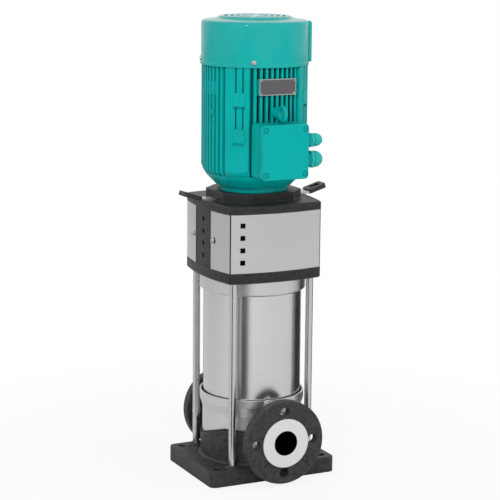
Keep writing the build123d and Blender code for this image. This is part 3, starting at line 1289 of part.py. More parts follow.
def windings():
    """End turns of the winding above and below the core."""
    inner = STATOR_BORE + WINDING_GAP
    outer = FRAME_BORE - 1.5 * WINDING_GAP
    end = STATOR_BOTTOM - WINDING_REACH
    profile = [
        (inner, STATOR_BOTTOM),
        (inner, end + WINDING_EDGE),
        (inner + WINDING_EDGE, end),
        (outer - WINDING_EDGE, end),
        (outer, end + WINDING_EDGE),
        (outer, STATOR_BOTTOM),
    ]
    low = turned(profile)
    middle = (STATOR_BOTTOM + STATOR_TOP) / 2
    return group([low, mirror(low, Plane.XY.offset(middle))])


def rotor_core():
    """Rotor stack with its short-circuit rings."""
    radius = STATOR_BORE - ROTOR_AIR_GAP
    core = tube(radius, BEARING_BORE + BEARING_SHOULDER, STATOR_BOTTOM, STATOR_TOP)
    ring = radius - ROTOR_AIR_GAP
    low = tube(ring, radius - ROTOR_RING, STATOR_BOTTOM - ROTOR_OVERHANG, STATOR_BOTTOM)
    high = tube(ring, radius - ROTOR_RING, STATOR_TOP, STATOR_TOP + ROTOR_OVERHANG)
    return core + low + high


def motor_shaft():
    """Stepped motor shaft from the coupling to the fan."""
    seat_low = DRIVE_BEARING_BOTTOM
    seat_high = FAN_BEARING_BOTTOM + BEARING_WIDTH
    end = LANTERN_TOP - MOTOR_SHAFT_LENGTH
    shoulder = BEARING_BORE + BEARING_SHOULDER
    neck = seat_low - SHAFT_GAP
    top = FAN_TOP - FAN_HUB_DROP
    profile = [
        (0, end),
        (MOTOR_SHAFT_RADIUS - SHAFT_CHAMFER, end),
        (MOTOR_SHAFT_RADIUS, end + SHAFT_CHAMFER),
        (MOTOR_SHAFT_RADIUS, neck),
        (BEARING_BORE, neck),
        (BEARING_BORE, seat_low + BEARING_WIDTH),
        (shoulder, seat_low + BEARING_WIDTH),
        (shoulder, FAN_BEARING_BOTTOM),
        (BEARING_BORE, FAN_BEARING_BOTTOM),
        (BEARING_BORE, seat_high + OVERCUT),
        (FAN_SEAT_RADIUS, seat_high + OVERCUT),
        (FAN_SEAT_RADIUS, top),
        (0, top),
    ]
    return turned(profile)


def bearing_rings(inner_radius, outer_radius):
    """One ring of each of the motor's two ball bearings."""
    rings = []
    for bottom in (DRIVE_BEARING_BOTTOM, FAN_BEARING_BOTTOM):
        rings.append(tube(outer_radius, inner_radius, bottom, bottom + BEARING_WIDTH))
    return group(rings)


# ================================================================ fan and cowl
def fan():
    """Radial fan: hub, back disc and straight blades."""
    wheel = tube(FAN_HUB, FAN_SEAT_RADIUS, FAN_BOTTOM, FAN_TOP - FAN_HUB_DROP)
    wheel = wheel + tube(FAN_RADIUS - FAN_SCOOP, FAN_SEAT_RADIUS, FAN_BOTTOM, FAN_BOTTOM + FAN_DISC)
    half = FAN_BLADE_THICKNESS / 2
    for index in range(FAN_BLADES):
        blade = block(FAN_HUB - OVERCUT, FAN_RADIUS, -half, half, FAN_BOTTOM, FAN_TOP)
        blade = blade - block(FAN_HUB + half, FAN_RADIUS / 2, -2 * half, 2 * half,
                              FAN_TOP - FAN_SCOOP, FAN_TOP + OVERCUT)
        wheel = wheel + around(blade, 360 * index / FAN_BLADES)
    return wheel


def fan_cowl():
    """Sheet cowl over the fan with a raised inlet disc of arc slots and one long rib."""
    outer = cowl_profile(0.0)
    inner = cowl_profile(COWL_WALL)
    cowl = outer - inner
    grille_low = COWL_DISC_TOP - 3 * COWL_WALL
    for ring in range(COWL_SLOT_RINGS):
        middle = COWL_SLOT_FIRST + ring * COWL_SLOT_PITCH
        slots = tube(middle + COWL_SLOT_WIDTH / 2, middle - COWL_SLOT_WIDTH / 2,
                     grille_low, COWL_DISC_TOP + OVERCUT)
        for spoke in range(COWL_SPOKES // 2):
            bar = Pos(0, 0, COWL_DISC_TOP) * Box(4 * COWL_RADIUS, COWL_SPOKE_WIDTH, 20 * COWL_WALL)
            slots = slots - around(bar, 360 * spoke / COWL_SPOKES)
        cowl = cowl - slots
    hem = turned([(COWL_RADIUS - COWL_WALL / 2, COWL_BOTTOM), (COWL_RADIUS + COWL_HEM, COWL_BOTTOM),
                  (COWL_RADIUS + COWL_HEM, COWL_BOTTOM + COWL_HEM_HEIGHT - COWL_HEM),
                  (COWL_RADIUS, COWL_BOTTOM + COWL_HEM_HEIGHT),
                  (COWL_RADIUS - COWL_WALL / 2, COWL_BOTTOM + COWL_HEM_HEIGHT)])
    cowl = cowl + hem
    rib = column(COWL_RIB_RADIUS, COWL_RIB_BOTTOM, COWL_RIB_TOP, COWL_RADIUS)
    rib = fillet(rib.faces().sort_by(Axis.Z)[-1].edges(), COWL_RIB_RADIUS * 0.8)
    cowl = cowl + around(rib - column(COWL_RADIUS - COWL_WALL, 0, 2 * COWL_SHOULDER), COWL_RIB_ANGLE)
    for angle in COWL_SCREW_ANGLES:
        cowl = cowl - outward(column(COWL_SCREW_RADIUS, 0, 2 * COWL_RADIUS), angle, COWL_SCREW_HEIGHT)
        head_room = column(COWL_SCREW_HEAD + ASSEMBLY_GAP, COWL_RADIUS, 2 * COWL_RADIUS)
        cowl = cowl - outward(head_room, angle, COWL_SCREW_HEIGHT)
    return cowl


def cowl_profile(inset):
    """Solid shape of the cowl, set in by a distance."""
    bottom = COWL_BOTTOM - (OVERCUT if inset else 0.0)
    side = COWL_RADIUS - inset
    shoulder = COWL_SHOULDER - inset
    round_radius = COWL_SHOULDER_ROUND - inset
    centre_height = shoulder - round_radius
    dome = COWL_DOME_TOP - inset
    disc = COWL_DISC_TOP - inset
    diagonal = round_radius * (1 - cos(radians(45)))
    lines = [
        Line((0, bottom), (side, bottom)),
        Line((side, bottom), (side, centre_height)),
        ThreePointArc((side, centre_height), (side - diagonal, shoulder - diagonal),
                      (side - round_radius, shoulder)),
        Line((side - round_radius, shoulder), (COWL_DOME_RADIUS, dome)),
        Line((COWL_DOME_RADIUS, dome), (COWL_DISC_RADIUS, disc)),
        Line((COWL_DISC_RADIUS, disc), (0, disc)),
        Line((0, disc), (0, bottom)),
    ]
    return revolve(make_face(Plane.XZ * Wire(lines)), Axis.Z)


def cowl_screws():
    """Screws that hold the cowl on the fan-end shield."""
    head = column(COWL_SCREW_HEAD, COWL_RADIUS, COWL_RADIUS + COWL_SCREW_HEAD_HEIGHT)
    shank = column(COWL_SCREW_RADIUS, FAN_SHIELD_RADIUS - COWL_SCREW_GRIP, COWL_RADIUS)
    return group([outward(head + shank, angle, COWL_SCREW_HEIGHT) for angle in COWL_SCREW_ANGLES])


# ================================================================ terminal box
def box_slab(back, front, margin=0.0):
    """Slab of the terminal box between two distances in front of the axis."""
    height = BOX_TOP - BOX_BOTTOM - 2 * margin
    outline = RectangleRounded(2 * (BOX_HALF_WIDTH - margin), height, BOX_CORNER - margin / 2)
    middle = (BOX_TOP + BOX_BOTTOM) / 2
    return Pos(0, -back, middle) * Rot(90, 0, 0) * extrude(outline, front - back)


def box_screw_places():
    """X and height of each cover screw."""
    low = BOX_BOTTOM + BOX_SCREW_MARGIN
    high = BOX_TOP - BOX_SCREW_MARGIN
    return [(x, height) for x in (-BOX_SCREW_X, BOX_SCREW_X) for height in (low, high)]


def along_front(radius, back, front, x, height):
    """Cylinder along -Y between two distances in front of the axis."""
    return Pos(x, -(back + front) / 2, height) * Rot(90, 0, 0) * Cylinder(radius, front - back)


def terminal_box():
    """Terminal box body with bosses for the screws and the two glands."""
    shell = box_slab(BOX_BACK, BOX_SPLIT) - box_slab(BOX_BACK + BOX_WALL, BOX_SPLIT + OVERCUT, BOX_WALL)
    for x, height in box_screw_places():
        boss = along_front(BOX_SCREW_RADIUS + BOX_WALL, BOX_BACK, BOX_SPLIT, x, height)
        shell = shell + (boss & box_slab(BOX_BACK, BOX_SPLIT))
        floor = BOX_SPLIT - BOX_SCREW_HOLE
        shell = shell - along_front(BOX_SCREW_RADIUS, floor, BOX_SPLIT + OVERCUT, x, height)
    for height, radius in gland_places():
        boss_radius = min(radius + GLAND_BOSS_EXTRA, GLAND_SETBACK)
        boss_end = BOX_HALF_WIDTH + GLAND_BOSS_LENGTH
        boss = Pos(0, -GLAND_DISTANCE, height) * Rot(0, 90, 0) * column(
            boss_radius, BOX_HALF_WIDTH - BOX_WALL, boss_end)
        bore = Pos(0, -GLAND_DISTANCE, height) * Rot(0, 90, 0) * column(
            gland_shank(radius), BOX_HALF_WIDTH - 2 * BOX_WALL, boss_end + OVERCUT)
        shell = shell + boss
        shell = shell - bore
    return shell


def gland_places():
    """Height and body radius of each cable gland."""
    return [(BOX_BOTTOM + UPPER_GLAND_RISE, UPPER_GLAND_RADIUS),
            (BOX_BOTTOM + LOWER_GLAND_RISE, LOWER_GLAND_RADIUS)]


def gland_shank(radius):
    """Radius of a gland's threaded shank."""
    return radius * 0.7


def terminal_box_cover():
    """Shallow cover of the terminal box."""
    cover = box_slab(BOX_SPLIT, BOX_FRONT)
    front_edges = cover.faces().sort_by(Axis.Y)[0].edges()
    cover = fillet(front_edges, COVER_ROUND)
    cover = cover - box_slab(BOX_SPLIT - OVERCUT, BOX_FRONT - BOX_WALL, BOX_WALL)
    for x, height in box_screw_places():
        boss = along_front(BOX_SCREW_RADIUS + BOX_WALL, BOX_SPLIT, BOX_FRONT - BOX_WALL, x, height)
        cover = cover + (boss & box_slab(BOX_SPLIT, BOX_FRONT))
        cover = cover - along_front(BOX_SCREW_RADIUS, BOX_SPLIT - OVERCUT, BOX_FRONT + OVERCUT, x, height)
        seat = BOX_FRONT - COVER_COUNTERBORE
        room = BOX_SCREW_HEAD + BOX_SCREW_HEAD_ROOM
        cover = cover - along_front(room, seat, BOX_FRONT + OVERCUT, x, height)
    return cover


def cover_screws():
    """Screws of the terminal box cover."""
    seat = BOX_FRONT - COVER_COUNTERBORE
    screws = []
    for x, height in box_screw_places():
        head = along_front(BOX_SCREW_HEAD, seat, seat + BOX_SCREW_HEAD_HEIGHT, x, height)
        shank = along_front(BOX_SCREW_RADIUS, BOX_SPLIT - BOX_SCREW_GRIP, seat, x, height)
        screws.append(head + shank)
    return group(screws)


def terminal_board():
    """Terminal board with six studs."""
    middle = (BOX_TOP + BOX_BOTTOM) / 2
    back = BOX_BACK + BOX_WALL
    board = block(-BOARD_HALF_WIDTH, BOARD_HALF_WIDTH, -back - BOARD_THICKNESS, -back,
                  middle - BOARD_HALF_HEIGHT, middle + BOARD_HALF_HEIGHT)
    for x in (-BOARD_HALF_WIDTH / 2, BOARD_HALF_WIDTH / 2):
        for row in (-1, 0, 1):
            height = middle + row * BOARD_HALF_HEIGHT * 0.62
            front = back + BOARD_THICKNESS + STUD_HEIGHT
            board = board + along_front(STUD_RADIUS, back + BOARD_THICKNESS / 2, front, x, height)
    return board


def cable_glands():
    """Two cable glands closed by blind domes."""
    start = BOX_HALF_WIDTH + GLAND_BOSS_LENGTH
    glands = []
    for height, radius in gland_places():
        hexagon = hexagon_prism(2 * radius * 0.96, start, start + GLAND_HEX_LENGTH)
        dome_start = start + GLAND_HEX_LENGTH
        dome_end = dome_start + GLAND_DOME_LENGTH
        disc = radius * GLAND_DISC_RADIUS
        dome = turned([(0, dome_start), (radius * 0.92, dome_start),
                       (radius * 0.92, dome_start + GLAND_DOME_LENGTH * 0.4),
                       (radius * 0.8, dome_start + GLAND_DOME_LENGTH * 0.66),
                       (disc + radius * 0.16, dome_end - 1), (disc, dome_end), (0, dome_end)])
        shank = column(gland_shank(radius), BOX_HALF_WIDTH - BOX_WALL, start)
        gland = hexagon + dome + shank
        glands.append(Pos(0, -GLAND_DISTANCE, height) * Rot(0, 90, 0) * gland)
    return group(glands)


# ================================================================ plate and lifting eye
def nameplate():
    """Bare metal plate on the front of the motor."""
    return block(-PLATE_HALF_WIDTH, PLATE_HALF_WIDTH, -PLATE_DISTANCE - PLATE_THICKNESS, -PLATE_DISTANCE,
                 PLATE_HEIGHT - PLATE_HALF_HEIGHT, PLATE_HEIGHT + PLATE_HALF_HEIGHT)


def eye_bolt():
    """Lifting eye screwed into the boss on the motor."""
    collar_top = EYE_BOSS_REACH + EYE_COLLAR_HEIGHT
    shank = along_front(EYE_SHANK_RADIUS, EYE_BOSS_REACH - EYE_SHANK_LENGTH, EYE_BOSS_REACH, 0, EYE_HEIGHT)
    collar = along_front(EYE_COLLAR_RADIUS, EYE_BOSS_REACH, collar_top, 0, EYE_HEIGHT)
    centre = collar_top + EYE_RING_RADIUS + EYE_TUBE / 2
    ring = Pos(0, -centre, EYE_HEIGHT) * Rot(0, 90, 0) * Torus(EYE_RING_RADIUS, EYE_TUBE)
    neck = along_front(EYE_TUBE + EYE_NECK, collar_top, collar_top + EYE_TUBE, 0, EYE_HEIGHT)
    return shank + collar + ring + neck


# ================================================================ write the parts
def main():
    """Build every part and write it under its own name."""
    os.makedirs("parts", exist_ok=True)
    save("base_plate", base_plate())
    save("foot_casing", foot_casing())
    save("drain_plug", plug(DRAIN_ANGLE, DRAIN_HEIGHT))
    for side in ("front", "rear"):
        save(f"{side}_lap_collar", lap_collar(side))
        save(f"{side}_loose_flange", loose_flange(side))
        save(f"{side}_flange_segment", flange_segment(side))
        save(f"{side}_guard", guard(side))
        save(f"coupling_half_{side}", coupling_half(side))
    save("outer_sleeve", outer_sleeve())
    save("sleeve_o_rings", sleeve_o_rings())
    save("pump_head", pump_head())
    for index in range(STAGE_COUNT):
        save(f"stage_casing_{index + 1}", stage_casing(index))
        save(f"impeller_{index + 1}", impeller(index))
    save("shaft_spacers", shaft_spacers())
    save("pump_shaft", pump_shaft())
    save("shaft_bush", shaft_bush())
    save("seal_cover", seal_cover())
    save("seal_seat", seal_seat())
    save("seal_rotor", seal_rotor())
    save("tie_rods", tie_rods())
    save("tie_rod_nuts", tie_rod_nuts())
    save("lantern", lantern())
    save("guard_screws", guard_screws())
    for name, turn in (("right", 0), ("left", 180)):
        save(f"{name}_lifting_strap", lifting_strap(turn))
        save(f"{name}_strap_grip", strap_grip(turn))
    save("strap_screws", strap_screws())
    save("coupling_screws", coupling_screws())
    save("drive_end_shield", drive_end_shield())
    save("motor_flange_bolts", motor_flange_bolts())
    save("motor_frame", motor_frame())
    save("fan_end_shield", fan_end_shield())
    save("stator_core", stator_core())
    save("windings", windings())
    save("rotor_core", rotor_core())
    save("motor_shaft", motor_shaft())
    save("bearing_outer_rings", bearing_rings(BEARING_OUTSIDE - BEARING_RACE, BEARING_OUTSIDE))
    save("bearing_inner_rings", bearing_rings(BEARING_BORE, BEARING_BORE + BEARING_RACE))
    save("fan", fan())
    save("fan_cowl", fan_cowl())
    save("cowl_screws", cowl_screws())
    save("terminal_box", terminal_box())
    save("terminal_box_cover", terminal_box_cover())
    save("cover_screws", cover_screws())
    save("terminal_board", terminal_board())
    save("cable_glands", cable_glands())
    save("nameplate", nameplate())
    save("eye_bolt", eye_bolt())


main()
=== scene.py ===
"""Dresses the upright in-line pump: finishes, fasteners, threads, seams and the plain studio round it."""

import logging
import math
from dataclasses import dataclass
from enum import Enum

import bmesh
import bpy
from mathutils import Matrix, Vector


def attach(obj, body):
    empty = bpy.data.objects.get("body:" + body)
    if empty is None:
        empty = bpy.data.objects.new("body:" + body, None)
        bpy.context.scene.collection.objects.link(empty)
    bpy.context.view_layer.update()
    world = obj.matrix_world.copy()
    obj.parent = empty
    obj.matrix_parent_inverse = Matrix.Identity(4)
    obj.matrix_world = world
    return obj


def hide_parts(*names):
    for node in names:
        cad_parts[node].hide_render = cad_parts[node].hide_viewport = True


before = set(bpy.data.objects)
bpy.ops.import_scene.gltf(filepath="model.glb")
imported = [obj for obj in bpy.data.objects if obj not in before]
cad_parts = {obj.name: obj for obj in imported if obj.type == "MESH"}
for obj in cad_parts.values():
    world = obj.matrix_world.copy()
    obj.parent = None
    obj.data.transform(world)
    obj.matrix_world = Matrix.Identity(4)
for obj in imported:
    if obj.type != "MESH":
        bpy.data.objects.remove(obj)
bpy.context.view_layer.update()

LOG = logging.getLogger("pump")
MM = 0.001
SMOOTH_ANGLE = 35.0
Colour = tuple[float, float, float]
WHITE: Colour = (1.0, 1.0, 1.0)
# Colour of the painted shade inside bores and along folds.
PAINTED_SHADE_DARK: Colour = (0.012, 0.012, 0.013)


# ---------------------------------------------------------------------------- node trees
class Level:
    """A value socket of a shader tree that takes part in arithmetic."""

    def __init__(self, shader: "Shader", socket: bpy.types.NodeSocket) -> None:
        """Wrap a socket.

        Args:
            shader: The shader that owns the socket.
            socket: An output that carries a number.
        """
        self.shader = shader
        self.socket = socket

    def _maths(self, operation: str, left: object, right: object) -> "Level":
        """Add one Math node.

        Args:
            operation: The node's operation.
            left: First operand, a level or a number.
            right: Second operand, a level or a number.

        Returns:
            The node's result.
        """
        node = self.shader.node("ShaderNodeMath", {"operation": operation}, {0: left, 1: right})
        return Level(self.shader, node.outputs[0])

    def __add__(self, other: object) -> "Level":
        """Sum."""
        return self._maths("ADD", self, other)

    def __radd__(self, other: object) -> "Level":
        """Reflected sum."""
        return self._maths("ADD", other, self)

    def __sub__(self, other: object) -> "Level":
        """Difference."""
        return self._maths("SUBTRACT", self, other)

    def __rsub__(self, other: object) -> "Level":
        """Reflected difference."""
        return self._maths("SUBTRACT", other, self)

    def __mul__(self, other: object) -> "Level":
        """Product."""
        return self._maths("MULTIPLY", self, other)

    def __rmul__(self, other: object) -> "Level":
        """Reflected product."""
        return self._maths("MULTIPLY", other, self)

    def wave(self) -> "Level":
        """Sine of the level."""
        return self._maths("SINE", self, 0.0)

    def root(self) -> "Level":
        """Square root of the level."""
        return self._maths("SQRT", self, 0.0)

    def ramp(self, low: float, high: float) -> "Level":
        """Smooth step of the level.

        Args:
            low: Level that gives nought.
            high: Level that gives one.

        Returns:
            The stepped level.
        """
        node = self.shader.node(
            "ShaderNodeMapRange",
            {"interpolation_type": "SMOOTHSTEP"},
            {"Value": self, "From Min": low, "From Max": high},
        )
        return Level(self.shader, node.outputs["Result"])


class NodeWork:
    """A node tree under construction."""

    def __init__(self, tree: bpy.types.NodeTree) -> None:
        """Take up a tree.

        Args:
            tree: The tree that the nodes go into.
        """
        self.tree = tree

    def node(self, kind: str, settings: dict[str, object], sockets: dict[object, object]) -> bpy.types.Node:
        """Add a node, set it up and feed it.

        Args:
            kind: The node's type.
            settings: Properties of the node.
            sockets: Values or links by socket name or number.

        Returns:
            The node.
        """
        made = self.tree.nodes.new(kind)
        for key, value in settings.items():
            setattr(made, key, value)
        for key, value in sockets.items():
            self.feed(made.inputs[key], value)
        return made

    def feed(self, socket: bpy.types.NodeSocket, value: object) -> None:
        """Set or link one input.

        Args:
            socket: The input.
            value: A number, a colour, a vector, a level or an output socket.
        """
        if isinstance(value, Level):
            self.tree.links.new(value.socket, socket)
        elif isinstance(value, bpy.types.NodeSocket):
            self.tree.links.new(value, socket)
        elif isinstance(value, tuple) and socket.type == "RGBA" and len(value) == 3:
            socket.default_value = (*value, 1.0)
        else:
            socket.default_value = value


class Shader(NodeWork):
    """A material under construction."""

    def __init__(self, name: str) -> None:
        """Start an empty material.

        Args:
            name: The material's name.
        """
        self.material = bpy.data.materials.new(name)
        self.material.use_nodes = True
        super().__init__(self.material.node_tree)
        self.tree.nodes.clear()
        self.body = self.node("ShaderNodeBsdfPrincipled", {}, {})
        self.output = self.node("ShaderNodeOutputMaterial", {}, {})
        self.tree.links.new(self.body.outputs[0], self.output.inputs["Surface"])
        self.place = self.node("ShaderNodeTexCoord", {}, {}).outputs["Object"]

    def level(self, kind: str, output: str, settings: dict[str, object],
              sockets: dict[object, object]) -> Level:
        """Add a node and take one of its outputs as a level.

        Args:
            kind: The node's type.
            output: Name of the output.
            settings: Properties of the node.
            sockets: Values or links.

        Returns:
            The output as a level.
        """
        return Level(self, self.node(kind, settings, sockets).outputs[output])

    def stretched(self, scale: tuple[float, float, float]) -> bpy.types.NodeSocket:
        """Object coordinates scaled along each axis."""
        node = self.node("ShaderNodeMapping", {}, {"Vector": self.place, "Scale": scale})
        return node.outputs[0]

    def grain(self, size: float, detail: float = 2.0, rough: float = 0.5,
              where: bpy.types.NodeSocket | None = None) -> Level:
        """Noise with features of about a given size.

        Args:
            size: Size of a feature in metres, or the divisor of the given coordinates.
            detail: Octaves of detail.
            rough: Strength of the finer octaves.
            where: Coordinates, if not the object's own.

        Returns:
            Noise from nought to one.
        """
        vector = where if where is not None else self.place
        sockets = {"Vector": vector, "Scale": 1.0 / size, "Detail": detail, "Roughness": rough}
        return self.level("ShaderNodeTexNoise", "Fac", {}, sockets)

    def axes(self) -> tuple[Level, Level, Level]:
        """The object coordinates as three levels."""
        node = self.node("ShaderNodeSeparateXYZ", {}, {"Vector": self.place})
        return tuple(Level(self, node.outputs[index]) for index in range(3))

    def blend(self, amount: object, low: object, high: object) -> bpy.types.NodeSocket:
        """Mix two colours.

        Args:
            amount: How much of the second colour.
            low: First colour.
            high: Second colour.

        Returns:
            The mixed colour.
        """
        node = self.node("ShaderNodeMix", {"data_type": "RGBA"}, {})
        self.feed(node.inputs[0], amount)
        self.feed(node.inputs[6], low)
        self.feed(node.inputs[7], high)
        return node.outputs[2]

    def edges(self, radius: float) -> tuple[bpy.types.NodeSocket, Level]:
        """Softened edges of a piece.

        Args:
            radius: How far the softening reaches.

        Returns:
            The softened normal, and a level that is one on sharp outer and inner edges.
        """
        soft = self.node("ShaderNodeBevel", {"samples": 4}, {"Radius": radius}).outputs[0]
        true = self.node("ShaderNodeNewGeometry", {}, {}).outputs["True Normal"]
        facing = self.level("ShaderNodeVectorMath", "Value", {"operation": "DOT_PRODUCT"}, {0: soft, 1: true})
        return soft, (1.0 - facing).ramp(0.02, 0.25)

    def inside(self, radius: float, height: float) -> Level:
        """How far a point lies inside a bore along Y.

        Args:
            radius: Radius of the bore.
            height: Height of its axis.

        Returns:
            One well inside the bore, none outside it.
        """
        x, _, z = self.axes()
        rise = z - height
        away = (x * x + rise * rise).root()
        return 1.0 - away.ramp(radius, radius + 0.4 * MM)

    def relief(self, height: Level, depth: float, strength: float = 1.0,
               under: bpy.types.NodeSocket | None = None) -> bpy.types.NodeSocket:
        """Turn a height into a normal.

        Args:
            height: The height, about nought to one.
            depth: What one stands for, in metres.
            strength: Share of the effect.
            under: The normal that it is laid on.

        Returns:
            The new normal.
        """
        sockets = {"Height": height, "Distance": depth, "Strength": strength}
        if under is not None:
            sockets["Normal"] = under
        return self.node("ShaderNodeBump", {}, sockets).outputs[0]

    def finish(self, constants: dict[str, object], varying: dict[str, object]) -> bpy.types.Material:
        """Feed the surface shader.

        Args:
            constants: Plain values of its sockets.
            varying: Levels, colours or normals of its sockets.

        Returns:
            The finished material.
        """
        for key, value in {**constants, **varying}.items():
            self.feed(self.body.inputs[key], value)
        return self.material


# ---------------------------------------------------------------------------- finishes
class Direction(Enum):
    """Which way a brushed or turned surface was worked."""

    ALONG_X = (0.04, 1.0, 1.0)
    ALONG_Y = (1.0, 0.04, 1.0)
    ALONG_Z = (1.0, 1.0, 0.03)
    LEVEL = (0.04, 0.04, 1.0)


@dataclass(frozen=True)
class CastCoat:
    """Dark coated casting: fine sand texture with paler speckles under a thin satin coat, and paler edges
    that are a painted highlight, partly edge wear.
    """

    name: str = "cast_coat"
    colour: Colour = (0.023, 0.0234, 0.024)
    # Pale tone of the sand speckles and of the painted highlight on the edges.
    speckle_and_edge_highlight: Colour = (0.12, 0.122, 0.124)
    sand: float = 0.0014
    depth: float = 0.00045
    roughness: float = 0.5
    edge: float = 0.0024

    def material(self) -> bpy.types.Material:
        """Build the material.

        Returns:
            The material.
        """
        shader = Shader(self.name)
        soft, rim = shader.edges(self.edge)
        sand = shader.grain(self.sand, 4.0, 0.65)
        swell = shader.grain(0.012, 2.0)
        cloud = shader.grain(0.008, 5.0, 0.7)
        low = tuple(0.55 * part for part in self.colour)
        tone = shader.blend(cloud.ramp(0.32, 0.68), low, tuple(1.7 * part for part in self.colour))
        tone = shader.blend(sand.ramp(0.5, 0.75) * 0.35, tone, self.speckle_and_edge_highlight)
        # Painted highlight along the edges, partly edge wear.
        tone = shader.blend(rim * 0.75, tone, self.speckle_and_edge_highlight)
        bump = shader.relief(swell, self.depth * 2.0, 0.5, soft)
        bump = shader.relief(sand, self.depth, 0.75, bump)
        gloss = self.roughness - 0.1 + sand * 0.16 + cloud * 0.08
        return shader.finish(
            {"Specular IOR Level": 0.34},
            {"Base Color": tone, "Roughness": gloss, "Normal": bump},
        )


@dataclass(frozen=True)
class Brushed:
    """Satin stainless sheet with fine brush lines, a painted edge line, and painted shade in a bore along Y
    and at upright folds if given.
    """

    name: str
    direction: Direction
    colour: Colour = (0.62, 0.62, 0.615)
    roughness: float = 0.3
    line: float = 0.0004
    depth: float = 0.00002
    edge: float = 0.0006
    # Tone of the painted edge line as a share of the colour: above one a painted highlight, below one a
    # painted shade.
    painted_edge_tone: float = 1.3
    # Radius and height of a bore along Y that gets painted shade, and distance of upright folds from the
    # middle where a painted shade line runs; nought for none.
    bore: float = 0.0
    bore_height: float = 0.0
    fold_x: float = 0.0
    fold_y: float = 0.0

    def material(self) -> bpy.types.Material:
        """Build the material.

        Returns:
            The material.
        """
        shader = Shader(self.name)
        soft, rim = shader.edges(self.edge)
        lines = shader.grain(self.line, 3.0, 0.6, shader.stretched(self.direction.value))
        broad = shader.grain(self.line * 9.0, 2.0, 0.5, shader.stretched(self.direction.value))
        cloud = shader.grain(0.06, 3.0)
        worked = tuple(0.72 * part for part in self.colour)
        tone = shader.blend(lines * 0.35 + broad * 0.2, self.colour, worked)
        # Painted edge line: a painted highlight or a painted shade along the edges, by the edge tone.
        tone = shader.blend(rim * 0.5, tone, tuple(min(1.0, self.painted_edge_tone * part) for part in self.colour))
        if self.bore:
            # Painted shade inside the bore.
            tone = shader.blend(shader.inside(self.bore, self.bore_height), tone, PAINTED_SHADE_DARK)
        # Painted shade: a dark line along each upright fold of the sheet.
        if self.fold_x:
            x, y, _ = shader.axes()
            across = (x * x).root() - self.fold_x
            along = (y * y).root() - self.fold_y
            painted_fold_shade = 1.0 - (across * across + along * along).root().ramp(0.9 * MM, 1.7 * MM)
            tone = shader.blend(painted_fold_shade * 0.9, tone, PAINTED_SHADE_DARK)
        gloss = self.roughness + lines * 0.12 + cloud * 0.06 - 0.08
        bump = shader.relief(lines, self.depth, 0.6, soft)
        return shader.finish(
            {"Metallic": 1.0},
            {"Base Color": tone, "Roughness": gloss, "Normal": bump},
        )


@dataclass(frozen=True)
class Turned:
    """Machined steel face with fine rings round an axis along Y or Z, and painted shade in its bore if given.
    """

    name: str
    axis: str
    centre: float = 0.0
    colour: Colour = (0.68, 0.68, 0.67)
    roughness: float = 0.26
    pitch: float = 0.0011
    depth: float = 0.00004
    # Radius of a bore along Y that gets painted shade; nought for none.
    bore: float = 0.0

    def material(self) -> bpy.types.Material:
        """Build the material.

        Returns:
            The material.
        """
        shader = Shader(self.name)
        soft, rim = shader.edges(0.0008)
        x, y, z = shader.axes()
        rise = (z - self.centre) if self.axis == "Y" else y
        radius = (x * x + rise * rise).root()
        rings = (radius * (2.0 * math.pi / self.pitch)).wave() * 0.5 + 0.5
        smear = shader.grain(0.0025, 3.0)
        groove = tuple(0.8 * part for part in self.colour)
        tone = shader.blend(rings * 0.25 + smear * 0.3, self.colour, groove)
        if self.bore:
            # Painted shade inside the bore.
            tone = shader.blend(shader.inside(self.bore, self.centre), tone, PAINTED_SHADE_DARK)
        bump = shader.relief(rings, self.depth, 0.7, soft)
        return shader.finish(
            {"Metallic": 1.0},
            {"Base Color": tone, "Roughness": self.roughness + smear * 0.14 + rim * 0.1, "Normal": bump},
        )


@dataclass(frozen=True)
class Steel:
    """Drawn, plated or ground steel of fasteners, rods and shafts, with a painted highlight along its edges.
    """

    name: str
    colour: Colour = (0.6, 0.6, 0.59)
    roughness: float = 0.24
    direction: Direction = Direction.ALONG_Z
    edge: float = 0.0004

    def material(self) -> bpy.types.Material:
        """Build the material.

        Returns:
            The material.
        """
        shader = Shader(self.name)
        soft, rim = shader.edges(self.edge)
        drawn = shader.grain(0.0005, 2.0, 0.5, shader.stretched(self.direction.value))
        spots = shader.grain(0.004, 4.0, 0.6)
        stained = tuple(0.66 * part for part in self.colour)
        tone = shader.blend(drawn * 0.3 + spots * 0.3, self.colour, stained)
        # Painted highlight: paler along the edges.
        tone = shader.blend(rim * 0.5, tone, tuple(min(1.0, 1.25 * part) for part in self.colour))
        bump = shader.relief(drawn, 0.00002, 0.5, soft)
        return shader.finish(
            {"Metallic": 1.0},
            {"Base Color": tone, "Roughness": self.roughness + spots * 0.16 - 0.05, "Normal": bump},
        )


